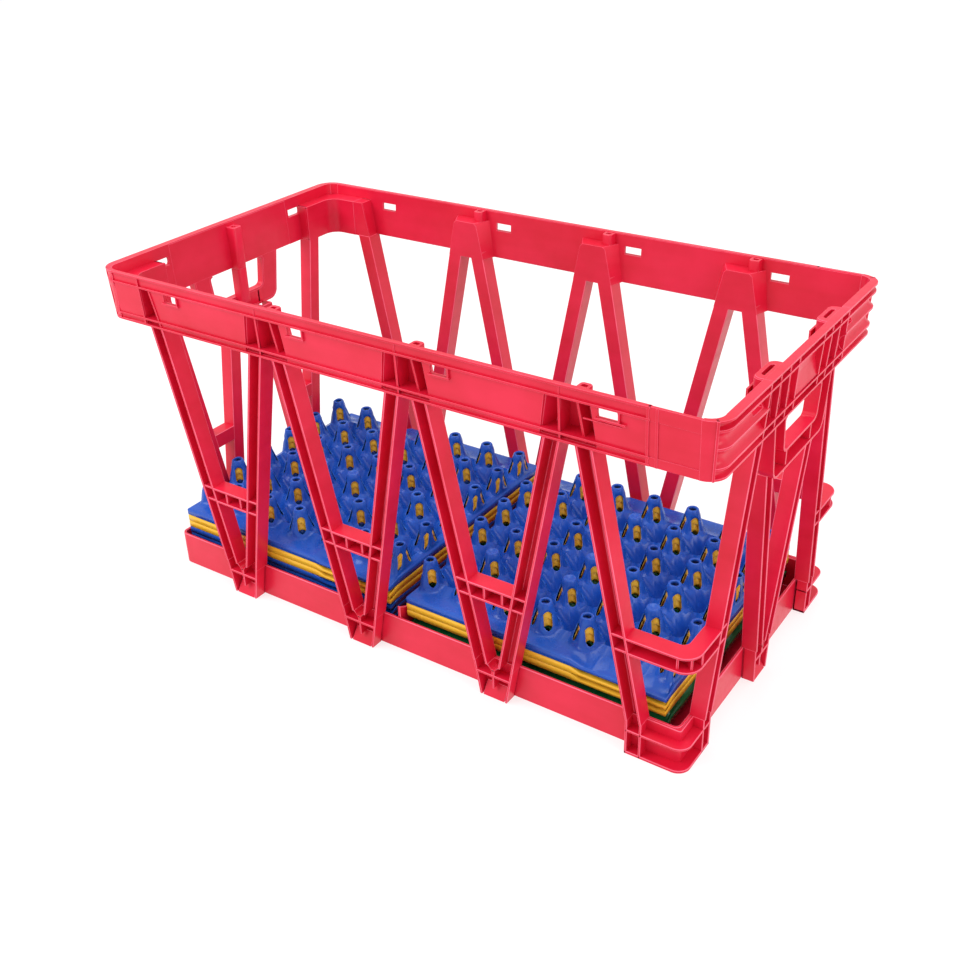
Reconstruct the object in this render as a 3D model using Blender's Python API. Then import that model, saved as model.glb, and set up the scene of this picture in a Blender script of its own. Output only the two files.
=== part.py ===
"""Open egg crate with V-shaped side struts and two stacks of 30-cell egg trays.

Metres, +Z up, +X along the crate. The origin is on the floor, under the middle of the rim.
The crate is one moulding in use. Here it is divided where its own ribs and struts meet.
"""
import math

import bmesh
import bpy
from mathutils import Vector

# ---- driving dimensions -------------------------------------------------------------------
GAP = 0.0003                 # clearance between pieces that touch

RIM_LENGTH = 0.680
RIM_WIDTH = 0.356
HEIGHT = 0.355
BAND_HEIGHT = 0.0523         # height of the rim band
BAND_DRAFT = 0.0028          # how far the foot of the band steps in from its top
RIM_CORNER = 0.0195          # plan radius of the rim
CORNER_SEGMENTS = 5

LONG_FLANGE = 0.0048         # width of the rim's top edge on the long sides
LONG_GROOVE = 0.0021         # depth behind the ledges on the long sides
SHORT_FLANGE = 0.0084
SHORT_GROOVE = 0.0060
LEDGE = 0.0020               # thickness of a ledge
LONG_LEDGES = (0.0, 0.0103, 0.0436, 0.0503)           # ledge tops, measured down from the rim
SHORT_LEDGES = (0.0, 0.0079, 0.0238, 0.0411, 0.0503)

SLOT_LENGTH = 0.0190
SLOT_HEIGHT = 0.0086
SLOT_DROP = 0.0172           # slot centre below the rim's top
LONG_SLOTS = (-0.2419, -0.0807, 0.0807, 0.2419)
SHORT_SLOTS = (-0.1031, 0.1031)

BASE_LENGTH = 0.6230
BASE_WIDTH = 0.3114
BASE_HEIGHT = 0.0385
BASE_CORNER = 0.008
WALL = 0.0028
LONG_FLARE = 0.0073          # outward lean of the long sides, metres per metre of height
SHORT_FLARE = 0.0250

RIB = 0.0026                 # thickness of the struts' side flanges
LONG_DEPTH = 0.0140          # depth of the strut channels at the floor
LONG_DEPTH_GAIN = 0.0028     # and how much deeper the long sides' are at the band
SHORT_DEPTH = 0.0130

STRUT_PITCH = 0.1633         # distance between the points where the long sides' struts meet
FIRST_APEX = -0.2847         # the leftmost of these points, at the left corner
LONG_INNER = 0.0069          # strut edges beside the apex, at the band's underside
LONG_OUTER = 0.0231
LONG_SLOPE = 0.199           # sideways run of a strut per metre of height

SHORT_STRUT_HALF = 0.0078
RIGHT_INNER = (0.00335, 0.179)     # strut centre at the floor, and sideways run per metre up
RIGHT_OUTER = (0.1320, -0.165)
LEFT_INNER = (0.0659, -0.155)
LEFT_OUTER = (0.0708, 0.158)

TIE_BOTTOM = 0.1123
TIE_TOP = 0.1291
CORNER_TIE_RADIUS = 0.0056

FOOT_HALF = 0.0155
FOOT_BLOCK = 0.027           # height of the solid part of a foot
CORNER_FOOT_RADIUS = 0.0130

LONG_BLOCK_HALF = 0.024      # half width of the pocketed block behind the band at an apex
BLOCK_DROP = 0.0120          # top of the blocks below the rim
TAB_OFFSET = 0.0157          # lifting tab beside each apex
TAB_HALF = 0.0081
TAB_REACH = 0.0108
RIGHT_BLOCK = (0.0486, 0.0884)
HUMP_DROP = 0.0006           # top of the right-hand side's humps below the rim
LEFT_POST_HALF = 0.0080
LEFT_BLOCK = (0.1090, 0.1548)    # reaches the long sides' blocks, so it lines the corners

FRAME_BOTTOM = 0.2507        # underside of the hand-hole frames
FRAME_BAR = 0.0160
FRAME_TOP_OUTER = 0.0637
FRAME_LOW_OUTER = 0.0567
FRAME_TOP_INNER = 0.0430
FRAME_LOW_INNER = 0.0390
FRAME_CHAMFER = 0.0070
FRAME_INNER = {"right": 0.3237, "left": 0.3296}     # inner face, from the crate's middle

DIVIDER_X = 0.0
DIVIDER_THICKNESS = 0.0030
DIVIDER_TOP = 0.0420
DIVIDER_END_TOP = 0.0520
DIVIDER_END_RUN = 0.0250

TRAY_LENGTH = 0.2884
TRAY_WIDTH = 0.2910
CELL_PITCH = 0.0454
CELLS_X = 6
CELLS_Y = 5
PEG_RISE = 0.0300            # peg tops above the tray's lip
SADDLE_RISE = 0.0040
CUP_DROP = 0.0238            # underside of the cups below the lip
SHEET = 0.0026               # tray wall, measured straight down
SKIRT = 0.0073               # depth of the tray's edge
SKIRT_RUN = 0.0030
NEST_PITCH = 0.0078          # rise from one nested tray to the next
LEFT_STACK_X = -0.1620
RIGHT_STACK_X = 0.1480
LEFT_COLOURS = ("blue", "blue", "blue", "yellow", "yellow", "blue")
RIGHT_COLOURS = ("green", "yellow", "yellow", "blue")
GREEN_STANDOFF = 0.0100      # the trays above the green one stand this much higher on it

BAND_BOTTOM = HEIGHT - BAND_HEIGHT
STRUT_BOTTOM = BASE_HEIGHT + GAP

# ---- the four sides -----------------------------------------------------------------------
# Each places a point from its distance along the side, its distance out and its height.
SIDES = {
    "front": lambda along, out, z: Vector((along, -out, z)),
    "back": lambda along, out, z: Vector((along, out, z)),
    "right": lambda along, out, z: Vector((out, along, z)),
    "left": lambda along, out, z: Vector((-out, along, z)),
}
LONG_SIDES = ("front", "back")


def wall_out(side, z):
    """Distance from the middle of the crate to the outer face of a side's wall."""
    if side in LONG_SIDES:
        return BASE_WIDTH / 2 + LONG_FLARE * z
    return BASE_LENGTH / 2 + SHORT_FLARE * z


def channel_depth(side, z):
    if side in LONG_SIDES:
        return LONG_DEPTH + LONG_DEPTH_GAIN * z / BAND_BOTTOM
    return SHORT_DEPTH


# ---- materials ----------------------------------------------------------------------------
COLOURS = {
    "red": (0.75, 0.014, 0.040),
    "blue": (0.014, 0.105, 0.58),
    "yellow": (0.82, 0.50, 0.035),
    "green": (0.006, 0.115, 0.035),
}


def plastic(name):
    material = bpy.data.materials.new(name + "_plastic")
    material.use_nodes = True
    shader = material.node_tree.nodes["Principled BSDF"]
    shader.inputs["Base Color"].default_value = (*COLOURS[name], 1.0)
    shader.inputs["Roughness"].default_value = 0.32
    shader.inputs["Metallic"].default_value = 0.0
    return material


# ---- mesh helpers -------------------------------------------------------------------------
def add_loft(bm, rings):
    """Join rings of points into one closed body, capped at both ends."""
    loops = [[bm.verts.new(point) for point in ring] for ring in rings]
    for first, second in zip(loops, loops[1:]):
        count = len(first)
        for i in range(count):
            j = (i + 1) % count
            bm.faces.new((first[i], first[j], second[j], second[i]))
    bm.faces.new(loops[0])
    bm.faces.new(loops[-1])


def add_box(bm, side, along, out, height):
    """A box on one side of the crate, from (low, high) pairs."""
    place = SIDES[side]
    corners = ((along[0], out[0]), (along[1], out[0]), (along[1], out[1]), (along[0], out[1]))
    add_loft(bm, [[place(a, o, z) for a, o in corners] for z in height])


def finish(name, bm, material):
    """Turn a mesh under construction into a named object."""
    bmesh.ops.recalc_face_normals(bm, faces=bm.faces[:])
    mesh = bpy.data.meshes.new(name)
    bm.to_mesh(mesh)
    bm.free()
    mesh.materials.append(material)
    piece = bpy.data.objects.new(name, mesh)
    bpy.context.collection.objects.link(piece)
    return piece


def helper(name, bm, material):
    """A body that only shapes another one."""
    piece = finish(name, bm, material)
    piece.hide_render = True
    piece.display_type = "WIRE"
    return piece


def combine(piece, other, operation):
    modifier = piece.modifiers.new(operation.lower(), "BOOLEAN")
    modifier.operation = operation
    modifier.solver = "EXACT"
    modifier.object = other


# ---- base ---------------------------------------------------------------------------------
def rounded_rectangle(half_x, half_y, radius, z, segments=3):
    points = []
    for quarter, (sx, sy) in enumerate(((1, 1), (-1, 1), (-1, -1), (1, -1))):
        centre = Vector((sx * (half_x - radius), sy * (half_y - radius), z))
        for step in range(segments + 1):
            angle = math.pi / 2 * (quarter + step / segments)
            points.append(centre + Vector((math.cos(angle), math.sin(angle), 0)) * radius)
    return points


def build_base(material):
    bm = bmesh.new()
    half_x = BASE_LENGTH / 2
    half_y = BASE_WIDTH / 2
    inner = BASE_CORNER - WALL
    add_loft(bm, [
        rounded_rectangle(half_x, half_y, BASE_CORNER, 0),
        rounded_rectangle(half_x, half_y, BASE_CORNER, BASE_HEIGHT),
        rounded_rectangle(half_x - WALL, half_y - WALL, inner, BASE_HEIGHT),
        rounded_rectangle(half_x - WALL, half_y - WALL, inner, WALL),
    ])
    base = finish("base_tray", bm, material)
    combine(base, divider_body(material), "UNION")


def divider_body(material):
    """Low wall between the stacks, whose ends sweep up."""
    bm = bmesh.new()
    end = (BASE_WIDTH - WALL) / 2
    sweep = [(end - DIVIDER_END_RUN * (1 - step / 4),
              DIVIDER_TOP + (DIVIDER_END_TOP - DIVIDER_TOP) * (step / 4) ** 2) for step in range(5)]
    outline = [(-end, WALL / 2), (end, WALL / 2)] + sweep[::-1]
    outline += [(-y, z) for y, z in sweep]
    half = DIVIDER_THICKNESS / 2
    add_loft(bm, [[Vector((DIVIDER_X + x, y, z)) for y, z in outline] for x in (-half, half)])
    return helper("divider_body", bm, material)


# ---- rim ----------------------------------------------------------------------------------
def draft(drop):
    return BAND_DRAFT * drop / BAND_HEIGHT


def band_profile(ledges, groove, flange):
    """Section through the band: (distance in from the rim's edge, drop from its top)."""
    points = []
    for top, following in zip(ledges, ledges[1:] + (None,)):
        points.append((draft(top), top))
        points.append((draft(top + LEDGE), top + LEDGE))
        if following is not None:
            step = min(0.0012, (following - top - LEDGE) / 3)
            points.append((draft(top + LEDGE) + groove, top + LEDGE + step))
            points.append((draft(following) + groove, following - step))
    points.append((draft(BAND_HEIGHT) + flange, BAND_HEIGHT))
    points.append((flange, 0.0))
    return points


def cut_slots(piece, side, places, material):
    bm = bmesh.new()
    reach = (RIM_WIDTH if side in LONG_SIDES else RIM_LENGTH) / 2
    centre = HEIGHT - SLOT_DROP
    for place in places:
        add_box(bm, side, (place - SLOT_LENGTH / 2, place + SLOT_LENGTH / 2),
                (reach - 0.020, reach + 0.010),
                (centre - SLOT_HEIGHT / 2, centre + SLOT_HEIGHT / 2))
    combine(piece, helper(side + "_slot_cutter", bm, material), "DIFFERENCE")


def add_blocks(piece, side, blocks, material):
    """Blocks behind the band that carry the struts' tops, each pocketed from outside.

    Each block is (low, high, drop of its top, pocket), and its pocket is (low, high, drop
    of its top) or None.
    """
    bodies = bmesh.new()
    pockets = bmesh.new()
    reach = (RIM_WIDTH if side in LONG_SIDES else RIM_LENGTH) / 2
    plate = reach - (LONG_FLANGE if side in LONG_SIDES else SHORT_FLANGE)
    back = wall_out(side, BAND_BOTTOM) - WALL
    pocketed = False
    for low, high, drop, pocket in blocks:
        add_box(bodies, side, (low, high), (back, plate), (BAND_BOTTOM, HEIGHT - drop))
        if pocket:
            pocketed = True
            add_box(pockets, side, pocket[:2], (back + WALL, reach + 0.010),
                    (BAND_BOTTOM - 0.005, HEIGHT - pocket[2]))
    combine(piece, helper(side + "_block_bodies", bodies, material), "UNION")
    if pocketed:
        combine(piece, helper(side + "_pocket_cutter", pockets, material), "DIFFERENCE")
    else:
        pockets.free()


def apexes():
    """Where the long sides' struts meet, from the left corner to the right."""
    return [FIRST_APEX + STRUT_PITCH * k for k in range(4)]


def build_long_rim(side, material):
    bm = bmesh.new()
    place = SIDES[side]
    profile = band_profile(LONG_LEDGES, LONG_GROOVE, LONG_FLANGE)
    end = RIM_LENGTH / 2 - RIM_CORNER - GAP
    add_loft(bm, [[place(x, RIM_WIDTH / 2 - inset, HEIGHT - drop) for inset, drop in profile]
                  for x in (-end, end)])
    piece = finish("rim_" + side, bm, material)
    corner_strut = apexes()[0]
    pocket_drop = BLOCK_DROP + RIB
    blocks = [(-end, corner_strut + LONG_OUTER, BLOCK_DROP,
               (corner_strut + RIB, corner_strut + LONG_OUTER - RIB, pocket_drop))]
    for x in apexes()[1:]:
        reach = LONG_BLOCK_HALF - RIB
        blocks.append((x - LONG_BLOCK_HALF, x + LONG_BLOCK_HALF, BLOCK_DROP,
                       (x - reach, x + reach, pocket_drop)))
    add_blocks(piece, side, blocks, material)
    tabs = bmesh.new()
    plate = RIM_WIDTH / 2 - LONG_FLANGE
    for x in apexes()[1:]:
        centre = x + TAB_OFFSET
        add_box(tabs, side, (centre - TAB_HALF, centre + TAB_HALF),
                (plate - TAB_REACH, plate + 0.002), (HEIGHT - BLOCK_DROP - 0.002, HEIGHT - 0.0005))
    combine(piece, helper(side + "_tab_bodies", tabs, material), "UNION")
    cut_slots(piece, side, LONG_SLOTS, material)


def build_short_rim(side, blocks, material):
    """The band across a short side, with both rounded corners."""
    bm = bmesh.new()
    sign = 1 if side == "right" else -1
    centre_x = RIM_LENGTH / 2 - RIM_CORNER
    centre_y = RIM_WIDTH / 2 - RIM_CORNER
    stations = []
    for step in range(CORNER_SEGMENTS + 1):
        stations.append((-centre_y, -math.pi / 2 * (1 - step / CORNER_SEGMENTS),
                         step / CORNER_SEGMENTS))
    stations += [(-y, -angle, share) for y, angle, share in reversed(stations)]
    rings = []
    for y, angle, share in stations:
        groove = LONG_GROOVE + (SHORT_GROOVE - LONG_GROOVE) * share
        flange = LONG_FLANGE + (SHORT_FLANGE - LONG_FLANGE) * share
        ring = []
        for inset, drop in band_profile(SHORT_LEDGES, groove, flange):
            radius = RIM_CORNER - inset
            ring.append(Vector((sign * (centre_x + radius * math.cos(angle)),
                                y + radius * math.sin(angle), HEIGHT - drop)))
        rings.append(ring)
    add_loft(bm, rings)
    piece = finish("rim_" + side, bm, material)
    add_blocks(piece, side, blocks, material)
    cut_slots(piece, side, SHORT_SLOTS, material)


def build_rims(material):
    for side in LONG_SIDES:
        build_long_rim(side, material)
    low, high = RIGHT_BLOCK
    pocket_low, pocket_high, pocket_drop = low + RIB, high - RIB, BLOCK_DROP + RIB
    humps = [(-high, -low, HUMP_DROP, (-pocket_high, -pocket_low, pocket_drop)),
             (low, high, HUMP_DROP, (pocket_low, pocket_high, pocket_drop))]
    build_short_rim("right", humps, material)
    low, high = LEFT_BLOCK
    post = (-LEFT_POST_HALF, LEFT_POST_HALF, 0.004, None)
    build_short_rim("left", [(-high, -low, BLOCK_DROP, None), post,
                             (low, high, BLOCK_DROP, None)], material)


# ---- hand holes ---------------------------------------------------------------------------
def build_hand_frame(side, material):
    """U-shaped frame that hangs under the band and closes the hand hole."""
    top = BAND_BOTTOM - GAP
    bar_top = FRAME_BOTTOM + FRAME_BAR
    half = [
        (FRAME_TOP_INNER, top),
        (FRAME_LOW_INNER, bar_top + FRAME_CHAMFER / 2),
        (FRAME_LOW_INNER - FRAME_CHAMFER / 2, bar_top),
    ]
    outer = [
        (FRAME_LOW_OUTER - FRAME_CHAMFER, FRAME_BOTTOM),
        (FRAME_LOW_OUTER, FRAME_BOTTOM + FRAME_CHAMFER),
        (FRAME_TOP_OUTER, top),
    ]
    outline = half + [(-y, z) for y, z in reversed(half)]
    outline += [(-y, z) for y, z in reversed(outer)] + outer
    outside = RIM_LENGTH / 2 - BAND_DRAFT
    place = SIDES[side]
    bm = bmesh.new()
    add_loft(bm, [[place(y, out, z) for y, z in outline] for out in (FRAME_INNER[side], outside)])
    frame = finish("hand_frame_" + side, bm, material)
    if side == "left":
        combine(frame, post_body(material), "UNION")


def post_body(material):
    """Post that splits the left hand hole, over the middle of that side."""
    bm = bmesh.new()
    inside = wall_out("left", BAND_BOTTOM) - WALL
    add_box(bm, "left", (-LEFT_POST_HALF, LEFT_POST_HALF), (inside, inside + WALL + SHORT_DEPTH),
            (FRAME_BOTTOM + FRAME_BAR / 2, BAND_BOTTOM - GAP))
    return helper("left_post_body", bm, material)


# ---- struts -------------------------------------------------------------------------------
def strut_ring(side, low, high, z):
    """Section of an upright channel that is open outwards."""
    face = wall_out(side, z)
    inside = face - WALL
    edge = face + channel_depth(side, z)
    outline = [(low, inside), (high, inside), (high, edge), (high - RIB, edge),
               (high - RIB, face), (low + RIB, face), (low + RIB, edge), (low, edge)]
    place = SIDES[side]
    return [place(along, out, z) for along, out in outline]


def build_strut(name, side, edges, top, material):
    """A channel whose edges at a height come from the function edges."""
    bm = bmesh.new()
    add_loft(bm, [strut_ring(side, *edges(z), z) for z in (STRUT_BOTTOM, top)])
    finish(name, bm, material)


def long_edges(apex, direction):
    """Edges of the strut that runs down from an apex towards -x (-1) or +x (1)."""
    def edges(z):
        shift = LONG_SLOPE * (BAND_BOTTOM - z)
        return sorted((apex + direction * (LONG_INNER + shift),
                       apex + direction * (LONG_OUTER + shift)))
    return edges


def short_edges(line, direction):
    start, slope = line

    def edges(z):
        centre = direction * (start + slope * z)
        return centre - SHORT_STRUT_HALF, centre + SHORT_STRUT_HALF
    return edges


def long_struts():
    """The seven struts of a long side, left to right, as edge functions."""
    struts = [long_edges(apexes()[0], 1)]
    for apex in apexes()[1:]:
        struts += [long_edges(apex, -1), long_edges(apex, 1)]
    return struts


def build_struts(material):
    top = BAND_BOTTOM - GAP
    for side in LONG_SIDES:
        for number, edges in enumerate(long_struts(), 1):
            build_strut(f"{side}_strut_{number}", side, edges, top, material)
    under_frame = FRAME_BOTTOM - GAP
    plans = {
        "right": ((RIGHT_OUTER, -1, top), (RIGHT_INNER, -1, under_frame),
                  (RIGHT_INNER, 1, under_frame), (RIGHT_OUTER, 1, top)),
        "left": ((LEFT_OUTER, -1, top), (LEFT_INNER, -1, under_frame),
                 (LEFT_INNER, 1, under_frame), (LEFT_OUTER, 1, top)),
    }
    for side, plan in plans.items():
        for number, (line, direction, end) in enumerate(plan, 1):
            build_strut(f"{side}_strut_{number}", side, short_edges(line, direction), end,
                        material)


# ---- ties ---------------------------------------------------------------------------------
def tie_section(depth):
    """Section of a tie, open outwards: (distance out from the wall, height)."""
    return [(-WALL, TIE_BOTTOM), (depth, TIE_BOTTOM), (depth, TIE_BOTTOM + RIB),
            (0.0, TIE_BOTTOM + RIB), (0.0, TIE_TOP - RIB), (depth, TIE_TOP - RIB),
            (depth, TIE_TOP), (-WALL, TIE_TOP)]


def build_tie(name, side, left_edge, right_edge, material):
    """A cross-tie between two struts."""
    place = SIDES[side]
    depth = channel_depth(side, TIE_TOP)
    rings = []
    for edge, gap in ((left_edge, GAP), (right_edge, -GAP)):
        rings.append([place(edge(z) + gap, wall_out(side, z) + out, z)
                      for out, z in tie_section(depth)])
    bm = bmesh.new()
    add_loft(bm, rings)
    finish(name, bm, material)


def build_corner_tie(name, long_side, material):
    """The tie that wraps a right-hand corner, from the last long strut to the first short one."""
    sign = -1 if long_side == "front" else 1
    middle = (TIE_BOTTOM + TIE_TOP) / 2
    centre_x = wall_out("right", middle) - CORNER_TIE_RADIUS
    centre_y = wall_out(long_side, middle) - CORNER_TIE_RADIUS
    strut = long_struts()[-1]
    short = short_edges(RIGHT_OUTER, 1)
    section = tie_section(LONG_DEPTH)
    rings = [[Vector((strut(z)[1] + GAP, sign * (centre_y + CORNER_TIE_RADIUS + out), z))
              for out, z in section]]
    for step in range(CORNER_SEGMENTS + 1):
        angle = math.pi / 2 * step / CORNER_SEGMENTS
        ring = []
        for out, z in section:
            radius = CORNER_TIE_RADIUS + out
            ring.append(Vector((centre_x + radius * math.sin(angle),
                                sign * (centre_y + radius * math.cos(angle)), z)))
        rings.append(ring)
    rings.append([Vector((centre_x + CORNER_TIE_RADIUS + out, sign * (short(z)[1] + GAP), z))
                  for out, z in section])
    bm = bmesh.new()
    add_loft(bm, rings)
    finish(name, bm, material)


def build_ties(material):
    struts = long_struts()
    for side in LONG_SIDES:
        for number in range(3):
            left, right = struts[2 * number], struts[2 * number + 1]
            build_tie(f"{side}_tie_{number + 1}", side, lambda z, s=left: s(z)[1],
                      lambda z, s=right: s(z)[0], material)
        build_corner_tie("corner_tie_" + side, side, material)
    inner = short_edges(LEFT_INNER, 1)
    outer = short_edges(LEFT_OUTER, 1)
    build_tie("left_tie_back", "left", lambda z: inner(z)[1], lambda z: outer(z)[0], material)
    build_tie("left_tie_front", "left", lambda z: -outer(z)[0], lambda z: -inner(z)[1], material)


# ---- feet ---------------------------------------------------------------------------------
def foot_outline(centre, left_edges, right_edges):
    """Block with the stubs of the two struts that land on it."""
    low = left_edges(BASE_HEIGHT)
    high = right_edges(BASE_HEIGHT)
    half = FOOT_HALF + (high[1] - centre - FOOT_HALF) * FOOT_BLOCK / BASE_HEIGHT
    return [
        (centre - FOOT_HALF, 0.0), (centre + FOOT_HALF, 0.0),
        (high[1], BASE_HEIGHT), (high[1] - RIB, BASE_HEIGHT), (centre + half - RIB, FOOT_BLOCK),
        (centre + RIB / 2, FOOT_BLOCK), (centre + RIB / 2, FOOT_BLOCK + 0.004),
        (high[0] + RIB, BASE_HEIGHT), (high[0], BASE_HEIGHT),
        (centre, FOOT_BLOCK + 0.005),
        (low[1], BASE_HEIGHT), (low[1] - RIB, BASE_HEIGHT),
        (centre - RIB / 2, FOOT_BLOCK + 0.004), (centre - RIB / 2, FOOT_BLOCK),
        (centre - half + RIB, FOOT_BLOCK), (low[0] + RIB, BASE_HEIGHT), (low[0], BASE_HEIGHT),
    ]


def build_foot(name, side, outline, material):
    place = SIDES[side]
    inside = wall_out(side, 0) + GAP
    outside = wall_out(side, 0) + channel_depth(side, 0)
    bm = bmesh.new()
    add_loft(bm, [[place(along, out, z) for along, z in outline] for out in (inside, outside)])
    finish(name, bm, material)


def build_corner_foot(name, long_side, material):
    """Foot that wraps a right-hand corner of the base."""
    sign = -1 if long_side == "front" else 1
    start_x = long_struts()[-1](BASE_HEIGHT)[0]
    start_y = short_edges(RIGHT_OUTER, 1)(BASE_HEIGHT)[0]
    in_x = wall_out("right", 0) + GAP
    in_y = wall_out(long_side, 0) + GAP
    out_x = wall_out("right", 0) + SHORT_DEPTH
    out_y = wall_out(long_side, 0) + LONG_DEPTH
    outline = [(start_x, in_y), (in_x, in_y), (in_x, start_y), (out_x, start_y)]
    for step in range(CORNER_SEGMENTS + 1):
        angle = math.pi / 2 * step / CORNER_SEGMENTS
        outline.append((out_x - CORNER_FOOT_RADIUS * (1 - math.cos(angle)),
                        out_y - CORNER_FOOT_RADIUS * (1 - math.sin(angle))))
    outline.append((start_x, out_y))
    bm = bmesh.new()
    add_loft(bm, [[Vector((x, sign * y, z)) for x, y in outline] for z in (0.0, BASE_HEIGHT)])
    finish(name, bm, material)


def build_feet(material):
    struts = long_struts()
    for side in LONG_SIDES:
        for number in range(3):
            centre = apexes()[number] + STRUT_PITCH / 2
            outline = foot_outline(centre, struts[2 * number], struts[2 * number + 1])
            build_foot(f"{side}_foot_{number + 1}", side, outline, material)
        build_corner_foot("corner_foot_" + side, side, material)
    outline = foot_outline(0.0, short_edges(RIGHT_INNER, -1), short_edges(RIGHT_INNER, 1))
    build_foot("right_foot", "right", outline, material)
    inner = LEFT_INNER[0] + LEFT_INNER[1] * BASE_HEIGHT
    outer = LEFT_OUTER[0] + LEFT_OUTER[1] * BASE_HEIGHT
    centre = (inner + outer) / 2
    outline = foot_outline(centre, short_edges(LEFT_INNER, 1), short_edges(LEFT_OUTER, 1))
    build_foot("left_foot_back", "left", outline, material)
    outline = foot_outline(-centre, short_edges(LEFT_OUTER, -1), short_edges(LEFT_INNER, -1))
    build_foot("left_foot_front", "left", outline, material)


# ---- trays --------------------------------------------------------------------------------
def grid_lines(cells, half_size):
    """Half-cell grid lines across a tray, with the skirt's lines outside them."""
    lines = [CELL_PITCH / 2 * i for i in range(-cells, cells + 1)]
    inner = half_size - SKIRT_RUN
    return [-half_size, -inner] + lines + [inner, half_size]


def tray_height(i, j):
    """Height over the lip at a grid crossing: pegs, cups and the saddles between them."""
    column = i - 2
    row = j - 2
    inside_x = 0 <= column <= 2 * CELLS_X
    inside_y = 0 <= row <= 2 * CELLS_Y
    if not (inside_x and inside_y):
        return 0.0
    if column % 2 == 0 and row % 2 == 0:
        return PEG_RISE
    if column % 2 == 1 and row % 2 == 1:
        return SHEET - CUP_DROP
    return SADDLE_RISE


def tray_mesh():
    """Egg tray: a folded sheet of pegs and cups in a turned-down edge, lip at z = 0."""
    xs = grid_lines(CELLS_X, TRAY_LENGTH / 2)
    ys = grid_lines(CELLS_Y, TRAY_WIDTH / 2)
    last_x = len(xs) - 1
    last_y = len(ys) - 1
    bm = bmesh.new()
    top = {}
    under = {}
    for i, x in enumerate(xs):
        for j, y in enumerate(ys):
            height = tray_height(i, j)
            edge = i in (0, last_x) or j in (0, last_y)
            top[i, j] = bm.verts.new((x, y, height))
            under[i, j] = bm.verts.new((x, y, -SKIRT if edge else height - SHEET))
    for i in range(last_x):
        for j in range(last_y):
            square = [(i, j), (i + 1, j), (i + 1, j + 1), (i, j + 1)]
            if (i + j) % 2 == 0:
                square = square[1:] + square[:1]      # always split from saddle to saddle
            for triangle in (square[:3], square[2:] + square[:1]):
                bm.faces.new([top[corner] for corner in triangle])
                bm.faces.new([under[corner] for corner in reversed(triangle)])
    border = [(i, 0) for i in range(last_x)] + [(last_x, j) for j in range(last_y)]
    border += [(i, last_y) for i in range(last_x, 0, -1)] + [(0, j) for j in range(last_y, 0, -1)]
    for here, there in zip(border, border[1:] + border[:1]):
        bm.faces.new((under[here], under[there], top[there], top[here]))
    bmesh.ops.recalc_face_normals(bm, faces=bm.faces[:])
    mesh = bpy.data.meshes.new("egg_tray")
    bm.to_mesh(mesh)
    bm.free()
    return mesh


def stack_heights(count, standoff):
    """Lip heights from the bottom tray up; standoff lifts all but the first."""
    first = WALL + GAP + CUP_DROP
    return [first + NEST_PITCH * k + (standoff if k else 0.0) for k in range(count)]


def build_trays(materials):
    mesh = tray_mesh()
    stacks = (("left", LEFT_STACK_X, LEFT_COLOURS, 0.0),
              ("right", RIGHT_STACK_X, RIGHT_COLOURS, GREEN_STANDOFF))
    for side, x, colours, standoff in stacks:
        heights = stack_heights(len(colours), standoff)
        for number, (colour, z) in enumerate(zip(colours, heights), 1):
            own = mesh.copy()
            own.materials.append(materials[colour])
            tray = bpy.data.objects.new(f"{side}_tray_{number}", own)
            tray.location = (x, 0.0, z)
            bpy.context.collection.objects.link(tray)
    bpy.data.meshes.remove(mesh)


def main():
    for old in list(bpy.data.objects):
        bpy.data.objects.remove(old, do_unlink=True)
    materials = {name: plastic(name) for name in COLOURS}
    red = materials["red"]
    build_base(red)
    build_rims(red)
    for side in ("left", "right"):
        build_hand_frame(side, red)
    build_struts(red)
    build_ties(red)
    build_feet(red)
    build_trays(materials)


main()
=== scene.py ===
"""Looks of the egg crate and its two stacks of egg trays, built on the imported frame.

Metres, +Z up, +X along the crate. The crate's pieces ride on "crate" and each tray on its own body.
"""
import math

import bmesh
import bpy
from mathutils import Matrix, Vector


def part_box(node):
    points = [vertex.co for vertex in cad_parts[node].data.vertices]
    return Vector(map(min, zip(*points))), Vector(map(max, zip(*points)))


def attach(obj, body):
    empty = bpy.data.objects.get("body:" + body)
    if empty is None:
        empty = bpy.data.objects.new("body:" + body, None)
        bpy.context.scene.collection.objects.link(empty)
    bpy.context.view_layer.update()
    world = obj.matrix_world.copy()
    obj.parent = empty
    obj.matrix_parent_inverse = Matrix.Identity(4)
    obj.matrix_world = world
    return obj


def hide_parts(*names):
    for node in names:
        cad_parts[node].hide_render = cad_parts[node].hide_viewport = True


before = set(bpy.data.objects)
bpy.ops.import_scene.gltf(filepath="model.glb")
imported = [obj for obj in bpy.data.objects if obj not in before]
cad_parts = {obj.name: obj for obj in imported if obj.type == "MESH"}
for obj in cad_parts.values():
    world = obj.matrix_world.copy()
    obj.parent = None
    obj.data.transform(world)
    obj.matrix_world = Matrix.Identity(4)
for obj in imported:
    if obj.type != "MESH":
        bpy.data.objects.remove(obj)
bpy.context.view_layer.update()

# ---- sizes the frame gives ----------------------------------------------------------------
RIM_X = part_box("rim_right")[1].x
RIM_Y = -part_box("rim_front")[0].y
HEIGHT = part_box("rim_front")[1].z
BAND_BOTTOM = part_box("rim_front")[0].z
BASE_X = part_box("base_tray")[1].x
BASE_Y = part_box("base_tray")[1].y
BASE_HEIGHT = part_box("right_strut_2")[0].z

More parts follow.
